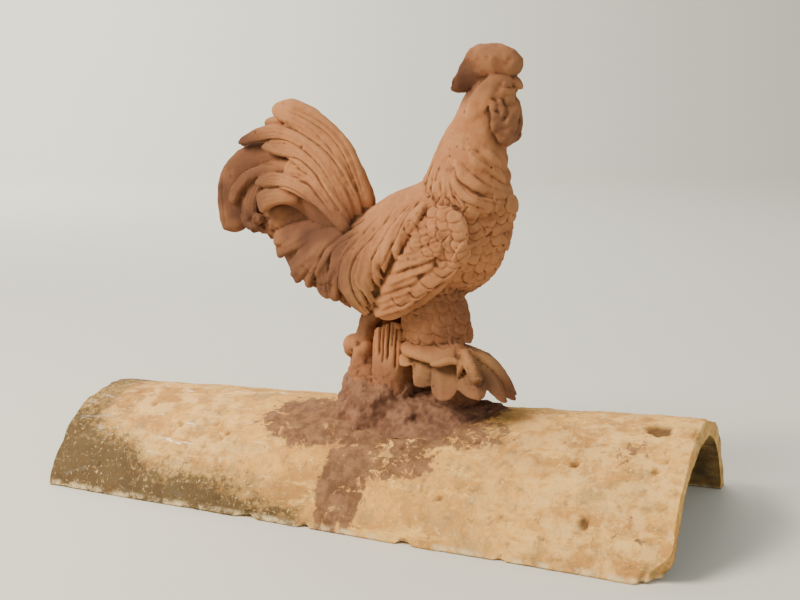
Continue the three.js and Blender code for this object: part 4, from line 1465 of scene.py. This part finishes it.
def buildRooster():
    skins = [bodySkin, neckSkin, *headSkins(), *tailSkins(), *footSkins(), *stumpSkins()]
    skins += scaleSkins() + ringSkins()
    for side in sides:
        skins += hackleSkins(side) + plumageSkins(side) + wingSkins(side)
    spots, faces = joined(skins)
    print("rooster: forms joined,", len(faces), "faces")
    thing = newObject("roosterFigure", spots * figureScale + perch, faces)
    applied(thing, "REMESH", mode="VOXEL", voxel_size=figure["voxel"] * mm)
    print("rooster: one skin,", len(thing.data.polygons), "faces")
    setSpots(thing.data, (spotsOf(thing.data) - perch) / figureScale)
    spots = carve(thing) * figureScale + perch
    setSpots(thing.data, np.clip(spots, roosterLow, roosterHigh))
    applied(thing, "DECIMATE", ratio=figure["triangles"] / (2 * len(thing.data.polygons)))
    mesh = thing.data
    spots, normals = spotsOf(mesh), normalsOf(mesh)
    # cavity: how far a point lies below its smoothed surroundings; the finish paints crease shade and dirt
    # with it
    cavity = sum(((smoothed(mesh, spots, rounds) - spots) * normals).sum(axis=1) * strength
                 for rounds, strength in ((14, 0.6), (4, 1.2)))
    setAttribute(mesh, "cavity", np.clip(cavity, -1, 1.5))
    local = (spots - perch) / figureScale
    patchy = 0.25 * lumpiness(local, 9, 107)
    setAttribute(mesh, "redness", np.clip(nearBlobs(local, reddened) + patchy, 0, 1))
    setAttribute(mesh, "shadeAndGrime", np.clip(nearBlobs(local, shadeAndGrimeZones) * (1 + patchy), 0, 1))
    setAttribute(mesh, "ochre", np.clip(nearBlobs(local, yellowed) + patchy, 0, 1))
    shadeSmooth(mesh)
    mesh.materials.clear()
    mesh.materials.append(terracotta)
    return thing


clayFinish()
rooster = buildRooster()
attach(rooster, "root")
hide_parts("rooster")
print("rooster:", len(rooster.data.polygons), "faces")

# Mortar

mortarLow, mortarHigh = (np.array(corner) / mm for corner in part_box("mortar_bed"))
mortar = {
    "mounds": [  # middle, length, width, height, seed and edge: the bed, the heap behind the perch, a lip
        (perch[0] - 4, 118, 100, 8, 201, 2),
        (perch[0] - 32, 60, 80, 27, 203, 0.55),
        (perch[0] - 6, 72, 84, 13, 205, 0.8),
    ],
    "below": 4.4,  # how deep a mound goes below its rim
    "sunk": 2.4,  # how far the rims go below the worn tile
    "voxel": 0.9,
    "triangles": 60000,
}
crumbSizes = {"Density": 90000.0, "Size": 2.6 * mm, "Seed": 5}  # the density is for a square metre


def mound(middle, length, width, height, seed, edge, around=120, along=48):  # a larger edge thins the rim
    angle = np.arange(around) * 2 * math.pi / around
    rise = np.linspace(-math.pi / 2, math.pi / 2, along + 1)
    reach, up = np.cos(rise)[:, None] ** 0.6, np.sin(rise)[:, None] * np.ones(around)
    shape = np.stack([np.cos(angle) * reach, np.sin(angle) * reach, up], axis=-1)
    uneven = 1 + 0.14 * lumpiness(shape * 30, 12, seed) + 0.07 * lumpiness(shape * 30, 5, seed + 1)
    x = middle + shape[..., 0] * length / 2 * uneven
    y = shape[..., 1] * width / 2 * uneven
    thick = np.where(up > 0, np.abs(up) ** edge * height * uneven, up * mortar["below"])
    spots = np.stack([x, y, crownAt(x, y) - mortar["sunk"] + thick], axis=-1)
    skin = np.vstack([spots[0, :1], spots[1:-1].reshape(-1, 3), spots[-1, :1]])
    # the rings run the other way round here, so the faces are turned
    return skin, [(face[0], *face[:0:-1]) for face in shellFaces(around, along - 1)]


crumbTree, given = treeWith("crumbs", crumbSizes)
grit = wire(crumbTree, "GeometryNodeMeshIcoSphere", {"Radius": 0.5, "Subdivisions": 1})
scatter = crumbTree.nodes.new("GeometryNodeDistributePointsOnFaces")
for title, socket in (("Mesh", "Geometry"), ("Density", "Density"), ("Seed", "Seed")):
    crumbTree.links.new(given[socket], scatter.inputs[title])
wild = wire(crumbTree, "FunctionNodeRandomValue", {
    "Min": (0.45, 0.45, 0.35), "Max": (1.35, 1.2, 0.9), "Seed": given["Seed"],
}, data_type="FLOAT_VECTOR")
wild = wire(crumbTree, "ShaderNodeVectorMath", {0: wild, "Scale": given["Size"]}, operation="SCALE")
crumbs = wire(crumbTree, "GeometryNodeInstanceOnPoints", {
    "Points": scatter.outputs["Points"], "Rotation": scatter.outputs["Rotation"], "Instance": grit,
    "Scale": wild,
})
both = crumbTree.nodes.new("GeometryNodeJoinGeometry")
crumbTree.links.new(crumbs, both.inputs[0])
crumbTree.links.new(given["Geometry"], both.inputs[0])
finishTree(crumbTree, both.outputs[0], given)

redMortar, gritTree, gritShader, gritPlace = newMaterial("redMortar", 0.95)


def gritFinish():
    tree, place = gritTree, gritPlace
    broad = between(tree, cloud(tree, place, 14, 6, 0.65), 0.38, 0.64)
    ground = mixed(tree, broad, paint("724d39"), paint("91664c"))
    ground = coated(
        tree, ground,
        (between(tree, cloud(tree, place, 3.5, 6, 0.7), 0.55, 0.7), 0.6, "9a6d4f"),
        # painted shade in the mortar's hollows, from the cavity attribute
        (between(tree, attribute(tree, "cavity"), 0.1, 1.1), 0.65, "45291d"),
    )
    finished(tree, gritShader, ground, cloud(tree, place, 1.2, 6, 0.7), 0.5)


def buildMortar():
    spots, faces = joined([mound(*heap) for heap in mortar["mounds"]])
    thing = newObject("mortarBed", spots, faces)
    thing.data = grown(thing, crumbTree, crumbSizes, redMortar)
    applied(thing, "REMESH", mode="VOXEL", voxel_size=mortar["voxel"] * mm)
    mesh = thing.data
    spots, normals = spotsOf(mesh), normalsOf(mesh)
    push = lumps(spots, (1.0, 8, 211), (0.8, 3, 212)) - 0.6
    spots = spots + normals * push[:, None]
    setSpots(mesh, np.clip(spots, mortarLow, mortarHigh))
    applied(thing, "DECIMATE", ratio=min(1, mortar["triangles"] / (2 * len(mesh.polygons))))
    mesh = thing.data
    spots, normals = spotsOf(mesh), normalsOf(mesh)
    # cavity: how far a point lies below its smoothed surroundings, for the painted shade in the hollows
    cavity = ((smoothed(mesh, spots, 8) - spots) * normals).sum(axis=1)
    setAttribute(mesh, "cavity", np.clip(cavity, -1, 1.5))
    shadeSmooth(mesh)
    mesh.materials.clear()
    mesh.materials.append(redMortar)
    return thing


gritFinish()
mortarBed = buildMortar()
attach(mortarBed, "root")
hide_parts("mortar_bed")
print("mortar:", len(mortarBed.data.polygons), "faces")
